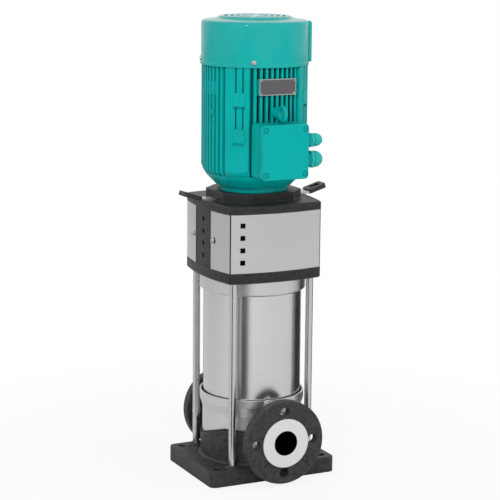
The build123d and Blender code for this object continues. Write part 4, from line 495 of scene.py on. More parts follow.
@dataclass(frozen=True)
class GlossPaint:
    """Semi-gloss machine paint with a slight orange peel over a cast or sheet body, with a painted highlight
    on its edges and, if a tip radius is given, painted shade between fins.
    """

    name: str = "teal_paint"
    colour: Colour = (0.0, 0.405, 0.385)
    deep: Colour = (0.0, 0.32, 0.305)
    # Colour of the painted shade between the fins.
    painted_shade: Colour = (0.0, 0.045, 0.044)
    peel: float = 0.0022
    depth: float = 0.00008
    roughness: float = 0.3
    edge: float = 0.0010
    coat: float = 0.1
    # Distance from the axis where the painted shade between the fins is darkest and where it ends; nought for
    # no painted shade.
    root: float = 0.0
    tip: float = 0.0

    def material(self) -> bpy.types.Material:
        """Build the material.

        Returns:
            The material, dull and with painted shade inside the root radius if a tip radius is given.
        """
        shader = Shader(self.name)
        soft, rim = shader.edges(self.edge)
        peel = shader.grain(self.peel, 2.0, 0.5)
        swell = shader.grain(0.014, 2.0)
        cloud = shader.grain(0.045, 3.0)
        tone = shader.blend(cloud.ramp(0.35, 0.8) * 0.45, self.colour, self.deep)
        # Painted highlight: paler teal along the edges.
        tone = shader.blend(rim * 0.35, tone, (0.01, 0.56, 0.53))
        gloss = self.roughness + peel * 0.1
        if self.tip:
            # Painted shade: the paint darkens towards the roots of the fins, where shade falls between them.
            x, y, _ = shader.axes()
            painted_fin_shade = 1.0 - (x * x + y * y).root().ramp(self.root, self.tip)
            tone = shader.blend(painted_fin_shade * 0.95, tone, self.painted_shade)
            gloss = gloss + painted_fin_shade * 0.3
        bump = shader.relief(swell, self.depth * 2.0, 0.5, soft)
        bump = shader.relief(peel, self.depth, 0.6, bump)
        return shader.finish(
            {"Specular IOR Level": 0.06, "Coat Roughness": 0.06},
            {"Base Color": tone, "Roughness": gloss, "Normal": bump,
             "Coat Weight": self.coat + cloud * 0.05},
        )


@dataclass(frozen=True)
class Moulded:
    """Moulded plastic with a fine spark-eroded grain and a painted highlight along its edges."""

    name: str
    colour: Colour
    roughness: float = 0.42
    grain: float = 0.0007
    depth: float = 0.00006

    def material(self) -> bpy.types.Material:
        """Build the material.

        Returns:
            The material.
        """
        shader = Shader(self.name)
        soft, rim = shader.edges(0.0008)
        grain = shader.grain(self.grain, 3.0, 0.6)
        cloud = shader.grain(0.02, 2.0)
        grain_and_edge_highlight = tuple(min(1.0, 1.3 * part + 0.01) for part in self.colour)
        # Paler at the grain, and along the edges as a painted highlight.
        tone = shader.blend(grain * 0.25 + rim * 0.35, self.colour, grain_and_edge_highlight)
        bump = shader.relief(grain, self.depth, 0.6, soft)
        return shader.finish(
            {"Specular IOR Level": 0.45},
            {"Base Color": tone, "Roughness": self.roughness + cloud * 0.12, "Normal": bump},
        )


@dataclass(frozen=True)
class Layered:
    """Stacked core sheets, seen as fine level lines."""

    name: str = "core_sheets"
    colour: Colour = (0.3, 0.3, 0.31)
    sheet: float = 0.0005

    def material(self) -> bpy.types.Material:
        """Build the material.

        Returns:
            The material.
        """
        shader = Shader(self.name)
        _, _, z = shader.axes()
        lines = (z * (2.0 * math.pi / self.sheet)).wave() * 0.5 + 0.5
        stain = shader.grain(0.006, 4.0)
        tone = shader.blend(stain, self.colour, (0.16, 0.14, 0.13))
        bump = shader.relief(lines, 0.00005, 0.5)
        return shader.finish(
            {"Metallic": 1.0},
            {"Base Color": tone, "Roughness": 0.4 + stain * 0.2, "Normal": bump},
        )


@dataclass(frozen=True)
class Wound:
    """Varnished copper wire wound round the axis."""

    name: str = "copper_winding"
    colour: Colour = (0.5, 0.17, 0.06)
    wire: float = 0.0011

    def material(self) -> bpy.types.Material:
        """Build the material.

        Returns:
            The material.
        """
        shader = Shader(self.name)
        x, y, z = shader.axes()
        radius = (x * x + y * y).root()
        wires = ((radius + z) * (2.0 * math.pi / self.wire)).wave() * 0.5 + 0.5
        varnish = shader.grain(0.008, 3.0)
        tone = shader.blend(varnish * 0.7, self.colour, (0.22, 0.07, 0.03))
        return shader.finish(
            {"Coat Roughness": 0.2},
            {"Base Color": tone, "Roughness": 0.35 + varnish * 0.2, "Metallic": 0.6 + wires * 0.3,
             "Normal": shader.relief(wires, 0.0002, 0.8)},
        )


# ---------------------------------------------------------------------------- mesh building
def new_object(name: str, mesh: bpy.types.Mesh) -> bpy.types.Object:
    """Put a mesh into the scene at the origin.

    Args:
        name: The object's name.
        mesh: Its mesh, with its place in it.

    Returns:
        The object.
    """
    piece = bpy.data.objects.new(name, mesh)
    bpy.context.scene.collection.objects.link(piece)
    return piece


class Solid:
    """A mesh under construction from turned outlines, prisms and copies."""

    def __init__(self) -> None:
        """Start with nothing."""
        self.mesh = bmesh.new()

    def turned(self, outline: list[tuple[float, ...]], place: Matrix, steps: int = 48,
               closed: bool = False, flutes: int = 0) -> "Solid":
        """Turn an outline about its own Z axis.

        Args:
            outline: Radius and height points, from the lower pole to the upper one; a third
                number is the depth of the flutes there.
            place: Where the turned piece stands.
            steps: Facets round the axis.
            closed: Whether the outline closes on itself, as a ring's does.
            flutes: How many flutes are pressed into the side.

        Returns:
            The solid, for further calls.
        """
        rings = []
        for radius, height, *depth in outline:
            if radius < 1e-7:
                rings.append([self.mesh.verts.new(place @ Vector((0.0, 0.0, height)))])
                continue
            ring = []
            full = radius
            for step in range(steps):
                angle = 2.0 * math.pi * step / steps
                if depth:
                    radius = full - depth[0] * max(0.0, math.cos(flutes * angle)) ** 0.5
                point = Vector((radius * math.cos(angle), radius * math.sin(angle), height))
                ring.append(self.mesh.verts.new(place @ point))
            rings.append(ring)
        pairs = list(zip(rings, rings[1:]))
        if closed:
            pairs.append((rings[-1], rings[0]))
        for low, high in pairs:
            self._bridge(low, high, steps)
        return self

    def _bridge(self, low: list[bmesh.types.BMVert], high: list[bmesh.types.BMVert], steps: int) -> None:
        """Join two rings, either of which may be a pole.

        Args:
            low: The first ring.
            high: The next ring.
            steps: Facets round the axis.
        """
        for step in range(steps):
            after = (step + 1) % steps
            if len(low) == 1 and len(high) == 1:
                continue
            if len(low) == 1:
                self.mesh.faces.new((low[0], high[after], high[step]))
            elif len(high) == 1:
                self.mesh.faces.new((low[step], low[after], high[0]))
            else:
                self.mesh.faces.new((low[step], low[after], high[after], high[step]))

    def prism(self, outline: list[tuple[float, float]], low: float, high: float, place: Matrix,
              inset: float = 0.0) -> "Solid":
        """Prism over a convex outline, with its upper rim drawn in for a chamfer.

        Args:
            outline: Corners in the XY plane, anticlockwise.
            low: Lower height.
            high: Upper height.
            place: Where the prism stands.
            inset: Chamfer at the upper rim.

        Returns:
            The solid, for further calls.
        """
        reach = max(math.hypot(x, y) for x, y in outline)
        share = 1.0 - inset / reach
        levels = [(1.0, low), (1.0, high - inset), (share, high)] if inset else [(1.0, low), (1.0, high)]
        rings = []
        for scale, height in levels:
            corners = [Vector((x * scale, y * scale, height)) for x, y in outline]
            rings.append([self.mesh.verts.new(place @ corner) for corner in corners])
        count = len(outline)
        for lower, upper in zip(rings, rings[1:]):
            for index in range(count):
                after = (index + 1) % count
                self.mesh.faces.new((lower[index], lower[after], upper[after], upper[index]))
        self.mesh.faces.new(rings[-1])
        self.mesh.faces.new(list(reversed(rings[0])))
        return self

    def swept(self, path: list[Vector], radii: list[float], sides: int = 10) -> "Solid":
        """Round bead along a closed path.

        Args:
            path: Points of the path, the last of which joins the first.
            radii: Radius of the bead at each point.
            sides: Facets round the bead.

        Returns:
            The solid, for further calls.
        """
        rings = []
        count = len(path)
        for index, point in enumerate(path):
            along = (path[(index + 1) % count] - path[index - 1]).normalized()
            across = along.cross(Vector((0.0, 1.0, 0.0))).normalized()
            up = along.cross(across)
            ring = []
            for side in range(sides):
                angle = 2.0 * math.pi * side / sides
                offset = across * math.cos(angle) + up * math.sin(angle)
                ring.append(self.mesh.verts.new(point + offset * radii[index]))
            rings.append(ring)
        for index in range(count):
            self._bridge(rings[index], rings[(index + 1) % count], sides)
        return self

    def strip(self, rings: list[list[bmesh.types.BMVert]]) -> "Solid":
        """Join rings of corners into a closed bar.

        Args:
            rings: The corners of each section, in order.

        Returns:
            The solid, for further calls.
        """
        for low, high in zip(rings, rings[1:]):
            self._bridge(low, high, len(low))
        self.mesh.faces.new(rings[0])
        self.mesh.faces.new(list(reversed(rings[-1])))
        return self

    def to_mesh(self, name: str, smooth_angle: float = SMOOTH_ANGLE) -> bpy.types.Mesh:
        """Close the work and make a mesh with outward faces.

        Args:
            name: The mesh's name.
            smooth_angle: Largest angle in degrees that is shaded smooth.

        Returns:
            The mesh.
        """
        bmesh.ops.remove_doubles(self.mesh, verts=self.mesh.verts, dist=1e-6)
        bmesh.ops.recalc_face_normals(self.mesh, faces=self.mesh.faces)
        mesh = bpy.data.meshes.new(name)
        self.mesh.to_mesh(mesh)
        self.mesh.free()
        mesh.shade_smooth()
        mesh.set_sharp_from_angle(angle=math.radians(smooth_angle))
        return mesh


def regular(sides: int, across: float) -> list[tuple[float, float]]:
    """Corners of a regular outline.

    Args:
        sides: How many sides it has.
        across: Its size across the flats.

    Returns:
        The corners, anticlockwise.
    """
    reach = across / 2.0 / math.cos(math.pi / sides)
    angles = [2.0 * math.pi * index / sides for index in range(sides)]
    return [(reach * math.cos(angle), reach * math.sin(angle)) for angle in angles]


def facing(point: Vector, outward: Vector, turn: float = 0.0) -> Matrix:
    """Place at a point whose +Z looks outward, turned about that direction."""
    spin = outward.to_track_quat("Z", "Y").to_matrix().to_4x4()
    return Matrix.Translation(point) @ spin @ Matrix.Rotation(turn, 4, "Z")


# ---------------------------------------------------------------------------- geometry node trees
class NodeTool(NodeWork):
    """A Geometry Nodes tree under construction, ending in Realize Instances and Set Material."""

    def __init__(self, name: str, inputs: dict[str, str]) -> None:
        """Start a tree.

        Args:
            name: The tree's name.
            inputs: Names and socket types of the sizes that it takes.
        """
        super().__init__(bpy.data.node_groups.new(name, "GeometryNodeTree"))
        face = self.tree.interface
        face.new_socket("Geometry", in_out="INPUT", socket_type="NodeSocketGeometry")
        for key, kind in inputs.items():
            face.new_socket(key, in_out="INPUT", socket_type=kind)
        face.new_socket("Finish", in_out="INPUT", socket_type="NodeSocketMaterial")
        face.new_socket("Geometry", in_out="OUTPUT", socket_type="NodeSocketGeometry")
        self.source = self.tree.nodes.new("NodeGroupInput")
        self.target = self.tree.nodes.new("NodeGroupOutput")

    def given(self, name: str) -> bpy.types.NodeSocket:
        """One of the tree's named inputs."""
        return self.source.outputs[name]

    def close(self, geometry: bpy.types.NodeSocket) -> None:
        """End the tree.

        Args:
            geometry: What the tree has made.
        """
        real = self.node("GeometryNodeRealizeInstances", {}, {"Geometry": geometry})
        dressed = self.node("GeometryNodeSetMaterial", {}, {
            "Geometry": real.outputs[0],
            "Material": self.given("Finish"),
        })
        self.tree.links.new(dressed.outputs[0], self.target.inputs[0])

    def apply(self, seed: bpy.types.Object, name: str, values: dict[str, object]) -> bpy.types.Object:
        """Run the tree on an object and keep the result as a plain mesh.

        Args:
            seed: The object that the tree works on; it is removed afterwards.
            name: Name of the new piece.
            values: The tree's inputs by name.

        Returns:
            The new piece.
        """
        modifier = seed.modifiers.new(self.tree.name, "NODES")
        modifier.node_group = self.tree
        for item in self.tree.interface.items_tree:
            if item.item_type == "SOCKET" and item.in_out == "INPUT" and item.name in values:
                modifier[item.identifier] = values[item.name]
        graph = bpy.context.evaluated_depsgraph_get()
        graph.update()
        mesh = bpy.data.meshes.new_from_object(seed.evaluated_get(graph), depsgraph=graph)
        mesh.name = name
        seed.modifiers.clear()
        bpy.data.objects.remove(seed)
        mesh.set_sharp_from_angle(angle=math.radians(SMOOTH_ANGLE))
        return new_object(name, mesh)


class Copies(NodeTool):
    """Copies of one piece at points that carry their own turn."""

    def __init__(self) -> None:
        """Build the tree."""
        super().__init__("placed_copies", {"Piece": "NodeSocketObject"})
        piece = self.node("GeometryNodeObjectInfo", {}, {"Object": self.given("Piece")})
        turn = self.node("GeometryNodeInputNamedAttribute", {"data_type": "FLOAT_VECTOR"}, {"Name": "turn"})
        placed = self.node("GeometryNodeInstanceOnPoints", {}, {
            "Points": self.given("Geometry"),
            "Instance": piece.outputs["Geometry"],
            "Rotation": turn.outputs["Attribute"],
        })
        self.close(placed.outputs[0])

    def spread(self, name: str, mesh: bpy.types.Mesh, places: list[Matrix],
               finish: bpy.types.Material) -> bpy.types.Object:
        """Spread copies of a mesh over places.

        Args:
            name: Name of the new piece.
            mesh: What is copied, about its own origin.
            places: Where each copy goes.
            finish: The copies' material.

        Returns:
            The piece with all the copies.
        """
        points = bpy.data.meshes.new(name + "_points")
        points.from_pydata([place.to_translation() for place in places], [], [])
        turns = points.attributes.new("turn", "FLOAT_VECTOR", "POINT")
        for index, place in enumerate(places):
            turns.data[index].vector = place.to_euler("XYZ")
        sample = bpy.data.objects.new(name + "_sample", mesh)
        seed = new_object(name + "_seed", points)
        piece = self.apply(seed, name, {"Piece": sample, "Finish": finish})
        bpy.data.objects.remove(sample)
        return piece


class Thread(NodeTool):
    """Screw thread: a helix with a small four-sided section."""

    def __init__(self) -> None:
        """Build the tree."""
        super().__init__("screw_thread", {
            "Radius": "NodeSocketFloat",
            "Pitch": "NodeSocketFloat",
            "Turns": "NodeSocketFloat",
            "Steps": "NodeSocketInt",
        })
        pitch, turns = self.given("Pitch"), self.given("Turns")
        height = self.node("ShaderNodeMath", {"operation": "MULTIPLY"}, {0: pitch, 1: turns})
        helix = self.node("GeometryNodeCurveSpiral", {}, {
            "Resolution": self.given("Steps"),
            "Rotations": turns,
            "Start Radius": self.given("Radius"),
            "End Radius": self.given("Radius"),
            "Height": height.outputs[0],
        })
        crest = self.node("ShaderNodeMath", {"operation": "MULTIPLY"}, {0: pitch, 1: 0.5}).outputs[0]
        section = self.node("GeometryNodeCurvePrimitiveCircle", {}, {"Resolution": 4, "Radius": crest})
        tube = self.node("GeometryNodeCurveToMesh", {}, {
            "Curve": helix.outputs[0],
            "Profile Curve": section.outputs[0],
            "Fill Caps": True,
        })
        at_points = self.node("GeometryNodeInstanceOnPoints", {}, {
            "Points": self.given("Geometry"),
            "Instance": tube.outputs[0],
        })
        self.close(at_points.outputs[0])

    def cut(self, name: str, feet: list[Vector], radius: float, pitch: float, length: float,
            finish: bpy.types.Material) -> bpy.types.Object:
        """Lay threads round upright rods.

        Args:
            name: Name of the new piece.
            feet: Lower end of each thread.
            radius: Radius of the helix.
            pitch: Rise in one turn.
            length: Length of the thread.
            finish: The thread's material.

        Returns:
            The piece with all the threads.
        """
        points = bpy.data.meshes.new(name + "_points")
        points.from_pydata(feet, [], [])
        turns = length / pitch
        values = {"Radius": radius, "Pitch": pitch, "Turns": turns, "Steps": 24, "Finish": finish}
        return self.apply(new_object(name + "_seed", points), name, values)


# ---------------------------------------------------------------------------- screws
class Drive(Enum):
    """Recess or head of a screw."""

    CROSS = "cross"
    SOCKET = "socket"
    HEX = "hex"


@dataclass
class Screw:
    """Small screw standing on its seat at the origin, with its shank below."""

    radius: float
    height: float
    shank: float
    length: float
    drive: Drive
    domed: float = 0.35
    countersunk: bool = False

    def mesh(self, name: str) -> bpy.types.Mesh:
        """Build the screw.

        Args:
            name: The mesh's name.

        Returns:
            The screw's mesh.
        """
        below = [
            (0.0, -self.length),
            (self.shank * 0.8, -self.length),
            (self.shank, -self.length + self.shank * 0.3),
        ]
        if self.drive is Drive.HEX:
            return self._hexagon(name, below)
        outline = below + self._side()
        top = 0.0 if self.countersunk else self.height
        inner = self.radius * 0.5
        sink = self.height * 0.6
        solid = Solid()
        if self.drive is Drive.SOCKET:
            outline += [
                (inner * 1.1, top),
                (inner, top - sink * 0.1),
                (inner * 0.96, top - sink),
                (0.0, top - sink),
            ]
            solid.turned(outline, Matrix.Identity(4), 36)
            return solid.to_mesh(name)
        outline += [(inner, top), (0.0, top)]
        solid.turned(outline, Matrix.Identity(4), 32)
        return self._cut_cross(solid.to_mesh(name), name, inner, top, sink)

    def _side(self) -> list[tuple[float, float]]:
        """Outline of the head's side, below its seat where it is countersunk and else above it.

        Returns:
            Radius and height points.
        """
        rim = self.radius
        if self.countersunk:
            return [(self.shank, -self.height), (rim, -self.height * 0.12), (rim, 0.0)]
        crown = self.height * (1.0 - self.domed)
        return [
            (self.shank, 0.0),
            (rim, 0.0),
            (rim, crown * 0.75),
            (rim * 0.95, crown),
            (rim * 0.8, self.height * 0.95),
        ]

    def _hexagon(self, name: str, below: list[tuple[float, float]]) -> bpy.types.Mesh:
        """Hexagon head with a chamfered crown and a washer face.

        Args:
            name: The mesh's name.
            below: Outline of the shank.

        Returns:
            The screw's mesh.
        """
        solid = Solid()
        here = Matrix.Identity(4)
        across = 2.0 * self.radius * math.cos(math.pi / 6.0)
        solid.turned(below + [(self.shank, 0.0), (0.0, 0.0)], here, 24)
        face = self.radius * 0.84
        rise = self.height * 0.12
        solid.turned([(0.0, 0.0), (face, 0.0), (face, rise), (0.0, rise)], here, 36)
        solid.prism(regular(6, across), self.height * 0.1, self.height, here, self.radius * 0.12)
        return solid.to_mesh(name)

    def _cut_cross(self, head: bpy.types.Mesh, name: str, reach: float, top: float,
                   sink: float) -> bpy.types.Mesh:
        """Cut a cross recess.

        Args:
            head: The screw before the cut.
            name: The mesh's name.
            reach: Half length of the cross.
            top: Height of the head's top.
            sink: Depth of the cross.

        Returns:
            The cut screw.
        """
        cutters = []
        arm = reach * 0.28
        for index, turn in enumerate((0.0, math.pi / 2.0)):
            outline = [(-reach, -arm), (reach, -arm), (reach, arm), (-reach, arm)]
            cutter = Solid().prism(outline, top - sink, top + sink, Matrix.Rotation(turn, 4, "Z"))
            cutters.append(cutter.to_mesh(f"{name}_cutter{index}"))
        return carved(head, cutters, name)


def carved(mesh: bpy.types.Mesh, cutters: list[bpy.types.Mesh], name: str) -> bpy.types.Mesh:
    """Cut meshes out of a mesh.

    Args:
        mesh: What is cut.
        cutters: What is taken away.
        name: Name of the result.

    Returns:
        The cut mesh.
    """
    body = new_object(name + "_body", mesh)
    tools = [new_object(f"{name}_tool{index}", cutter) for index, cutter in enumerate(cutters)]
    for tool in tools:
        modifier = body.modifiers.new("cut", "BOOLEAN")
        modifier.operation = "DIFFERENCE"
        modifier.solver = "EXACT"
        modifier.use_self = True
        modifier.object = tool
    graph = bpy.context.evaluated_depsgraph_get()
    graph.update()
    result = bpy.data.meshes.new_from_object(body.evaluated_get(graph), depsgraph=graph)
    result.name = name
    for used in (body, *tools):
        bpy.data.objects.remove(used)
    result.shade_smooth()
    result.set_sharp_from_angle(angle=math.radians(SMOOTH_ANGLE))
    return result


# ---------------------------------------------------------------------------- the wardrobe
class Wardrobe:
    """Every finish of the pump, made once."""

    def __init__(self) -> None:
        """Make the materials."""
        self._metals()
        self._paints()
        self._mouldings()

    def _metals(self) -> None:
        """Castings, stainless sheet, machined faces and fasteners."""
        bore = 22.1 * MM
        axis = 80.0 * MM
        self.cast = CastCoat().material()
        self.collar_cast = CastCoat(
            "stool_coat",
            colour=(0.012, 0.0122, 0.0127),
            speckle_and_edge_highlight=(0.08, 0.081, 0.083),
            roughness=0.42,
        ).material()
        self.sleeve = Brushed(
            "sleeve_sheet",
            Direction.LEVEL,
            colour=(0.72, 0.72, 0.715),
            roughness=0.23,
            line=0.0005,
        ).material()
        self.casing = Brushed(
            "casing_satin",
            Direction.LEVEL,
            colour=(0.7, 0.7, 0.695),
            roughness=0.38,
            bore=bore,
            bore_height=axis,
        ).material()
        self.guard = Brushed(
            "guard_sheet",
            Direction.LEVEL,
            colour=(0.66, 0.66, 0.658),
            roughness=0.3,
            line=0.00035,
            edge=0.0012,
            painted_edge_tone=0.1,
            fold_x=87.4 * MM,
            fold_y=90.4 * MM,
        ).material()
        self.plate = Brushed(
            "plate_metal",
            Direction.ALONG_X,
            colour=(0.17, 0.165, 0.17),
            roughness=0.4,
        ).material()
        self.port_face = Turned(
            "port_face",
            "Y",
            axis,
            colour=(0.86, 0.86, 0.855),
            roughness=0.34,
            bore=bore,
        ).material()
        self.head = Turned("head_ring", "Z", pitch=0.0008).material()
        self.rod = Steel("drawn_rod", (0.66, 0.66, 0.65), 0.2).material()
        self.strap = Steel("strap_steel", roughness=0.27, direction=Direction.ALONG_Y).material()
        self.fastener = Steel("plated_fastener", (0.62, 0.62, 0.6), 0.22).material()
        self.shaft = Steel("ground_shaft", (0.62, 0.62, 0.62), 0.16).material()
        self.coupling = Steel("coupling_metal", (0.2, 0.2, 0.205), 0.38).material()
        self.weld = Steel("weld_bead", (0.5, 0.49, 0.47), 0.36).material()
        self.core = Layered().material()
        self.copper = Wound().material()

    def _paints(self) -> None:
        """Teal paint: plain, with painted shade between the fins, and glossier on the cowl."""
        self.paint = GlossPaint().material()
        self.frame_paint = GlossPaint("frame_paint", root=82.0 * MM, tip=90.6 * MM).material()
        self.cowl_paint = GlossPaint("cowl_paint", depth=0.00003, roughness=0.2, coat=0.55).material()

    def _mouldings(self) -> None:
        """Plastics, rubber and carbon."""
        self.teal_plastic = Moulded("teal_plastic", (0.0, 0.42, 0.395), 0.36).material()
        self.black_plastic = Moulded("black_plastic", (0.02, 0.02, 0.021), 0.4).material()
        self.rubber = Moulded("seal_rubber", (0.005, 0.005, 0.005), 0.72).material()
        self.carbon = Moulded("bearing_carbon", (0.04, 0.04, 0.043), 0.3).material()

    def dress(self, material: bpy.types.Material, *nodes: str) -> None:
        """Give CAD nodes a material.

        Args:
            material: The finish.
            nodes: Names of the nodes.
        """
        for name in nodes:
            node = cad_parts[name]
            if not node.material_slots:
                node.data.materials.append(material)
            for place in node.material_slots:
                place.material = material


def belongs(piece: bpy.types.Object, body: str, slot: str, *nodes: str) -> bpy.types.Object:
    """Hang a piece on the body that it rides on and hide the CAD nodes that it stands for.

    Args:
        piece: The finished piece.
        body: Body that it moves with.
        slot: Not used.
        nodes: CAD nodes that it replaces.

    Returns:
        The piece.
    """
    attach(piece, body)
    if nodes:
        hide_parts(*nodes)
    LOG.info("%s: %d faces, rides on %s", piece.name, len(piece.data.polygons), body)
    return piece


def finished(name: str, solid: Solid, finish: bpy.types.Material,
             smooth_angle: float = SMOOTH_ANGLE) -> bpy.types.Object:
    """Make a piece of a solid and give it its finish.

    Args:
        name: The piece's name.
        solid: Its shape.
        finish: Its material.
        smooth_angle: Largest angle in degrees that is shaded smooth.

    Returns:
        The piece.
    """
    piece = new_object(name, solid.to_mesh(name, smooth_angle))
    piece.data.materials.append(finish)
    return piece


# ---------------------------------------------------------------------------- sub-assemblies
def heading(degrees: float) -> Vector:
    """Level direction at an angle from +X."""
    angle = math.radians(degrees)
    return Vector((math.cos(angle), math.sin(angle), 0.0))


@dataclass
class PortWork:
    """Castings, collars and weld beads at the foot of the pump."""

    casing: float = 89.0 * MM
    rim: float = 94.3 * MM
    flare_low: float = 116.0 * MM
    flare_high: float = 133.0 * MM
    root: float = 46.0 * MM
    axis: float = 80.0 * MM
    bead: float = 1.5 * MM
    # Inner and outer radius of the cast skirt.
    skirt: tuple[float, float] = (89.35 * MM, 92.6 * MM)
    skirt_top: float = 88.0 * MM
    # Half width, depth and rearward shift of the dip in its edge.
    dip: tuple[float, float, float] = (63.0 * MM, 20.0 * MM, 15.0 * MM)
    # Fall of the finished edge for each metre to the rear, from where it starts.
    lean: float = 0.29
    lean_start: float = -48.0 * MM
    neck_angle: float = 61.0
    seal: float = 2.2 * MM
    plug_angle: float = -97.0
    plug_seat: float = 97.3 * MM
    plug_height: float = 139.0 * MM
    plug_across: float = 12.0 * MM
    plug_top: float = 5.9 * MM
    plug_washer: float = 6.9 * MM
    plug_shank: float = 5.0 * MM
    plug_depth: float = 5.5 * MM

    def build(self, wardrobe: Wardrobe, copies: Copies) -> None:
        """Dress the foot and lay the beads.

        Args:
            wardrobe: The finishes.
            copies: Not used.
        """
        wardrobe.dress(wardrobe.cast, "base_plate", "front_loose_flange", "front_flange_segment",
                       "rear_loose_flange", "rear_flange_segment")
        wardrobe.dress(wardrobe.casing, "foot_casing")
        wardrobe.dress(wardrobe.port_face, "front_lap_collar", "rear_lap_collar")
        beads = Solid()
        for side in (-1.0, 1.0):
            self._bead(beads, side)
        belongs(finished("port_welds", beads, wardrobe.weld, 60.0), "pump", "stainless")
        self._skirt(wardrobe)
        self._plug(wardrobe)

    def _cast_edge(self, y: float) -> float:
        """Height of the cast skirt's top, which dips on both sides.

        Args:
            y: Place along the port axis.

        Returns:
            The height.
        """
        half, depth, shift = self.dip
        radius = (half * half + depth * depth) / (2.0 * depth)
        away = abs(y - shift)
        if away >= half:
            return self.skirt_top
        return self.skirt_top - depth + radius - math.sqrt(radius * radius - away * away)

    def _full_edge(self, y: float) -> float:
        """Height of the finished edge, which leans down steadily to the rear."""
        lean = self.skirt_top - self.lean * max(0.0, y - self.lean_start)
        return max(self._cast_edge(y), lean)

    def _skirt(self, wardrobe: Wardrobe) -> None:
        """Fill the front of the skirt's dips and lay the dark seal on its edge.

        Args:
            wardrobe: The finishes.
        """
        inner, outer = self.skirt
        spare = 0.15 * MM
        lap = 2.0 * MM
        least = 0.02 * MM
        steps = 96
        reach = math.radians(90.0 - self.neck_angle)
        lips = Solid()
        seals = Solid()
        for side in (-1.0, 1.0):
            seal_rings = []
            lip_rings = []
            for step in range(steps + 1):
                angle = math.pi * (-0.5 + step / steps) + reach * (1.0 - 2.0 * step / steps)
                x, y = side * math.cos(angle), math.sin(angle)
                low = self._cast_edge(outer * y)
                high = self._full_edge(outer * y)
                seal_rings.append(self._section(seals, x, y, (inner + spare, outer - spare),
                                                (high, high + self.seal)))
                if high > low + least:
                    lip_rings.append(self._section(lips, x, y, self.skirt, (low - lap, high)))
            seals.strip(seal_rings)
            lips.strip(lip_rings)
        smooth = 50.0
        belongs(finished("skirt_lips", lips, wardrobe.cast, smooth), "pump", "cast_grey")
        belongs(finished("skirt_seal", seals, wardrobe.rubber, smooth), "pump", "rubber")

    @staticmethod
    def _section(solid: Solid, x: float, y: float, radii: tuple[float, float],
                 heights: tuple[float, float]) -> list[bmesh.types.BMVert]:
        """Four corners of an upright section of a curved bar.

        Args:
            solid: What the corners are added to.
            x: First part of the section's level direction.
            y: Second part of it.
            radii: Inner and outer radius.
            heights: Lower and upper height.

        Returns:
            The corners.
        """
        inner, outer = radii
        low, high = heights
        corners = [(inner, low), (outer, low), (outer, high), (inner, high)]
        return [solid.mesh.verts.new((radius * x, radius * y, z)) for radius, z in corners]

    def _bead(self, solid: Solid, side: float) -> None:
        """Rippled bead where a neck meets the casing.

        Args:
            solid: What the bead is added to.
            side: Minus one for the front port, one for the rear.
        """
        steps = 288
        ripples = 72.0
        ripple = 0.16
        proud = 0.2
        path = []
        radii = []
        for step in range(steps):
            angle = 2.0 * math.pi * step / steps
            x = self.root * math.cos(angle)
            z = self.axis + self.root * math.sin(angle)
            lean = min(1.0, max(0.0, (z - self.flare_low) / (self.flare_high - self.flare_low)))
            wall = self.casing + (self.rim - self.casing) * lean
            path.append(Vector((x, side * (math.sqrt(wall * wall - x * x) + self.bead * proud), z)))
            radii.append(self.bead * (1.0 + ripple * math.sin(ripples * angle)))
        solid.swept(path, radii, 12)

    def _plug(self, wardrobe: Wardrobe) -> None:
        """Chamfered hexagon plug with its sealing washer.

        Args:
            wardrobe: The finishes.
        """
        outward = heading(self.plug_angle)
        place = facing(outward * self.plug_seat + Vector((0.0, 0.0, self.plug_height)), outward)
        edge = 0.5 * MM
        seat = 2.0 * edge
        rim = self.plug_washer
        wide, deep = self.plug_shank, self.plug_depth
        washer = [(0.0, 0.0), (rim - 0.3 * MM, 0.0), (rim, edge), (rim - 0.3 * MM, seat), (0.0, seat)]
        shank = [(0.0, -deep), (wide - 0.4 * MM, -deep), (wide, -deep + edge), (wide, 0.0), (0.0, 0.0)]
        solid = Solid()
        solid.prism(regular(6, self.plug_across), seat, self.plug_top, place, 0.7 * MM)
        solid.turned(washer, place, 40)
        solid.turned(shank, place, 32)
        piece = finished("chamfered_plug", solid, wardrobe.fastener)
        belongs(piece, "pump", "bright_steel", "drain_plug")


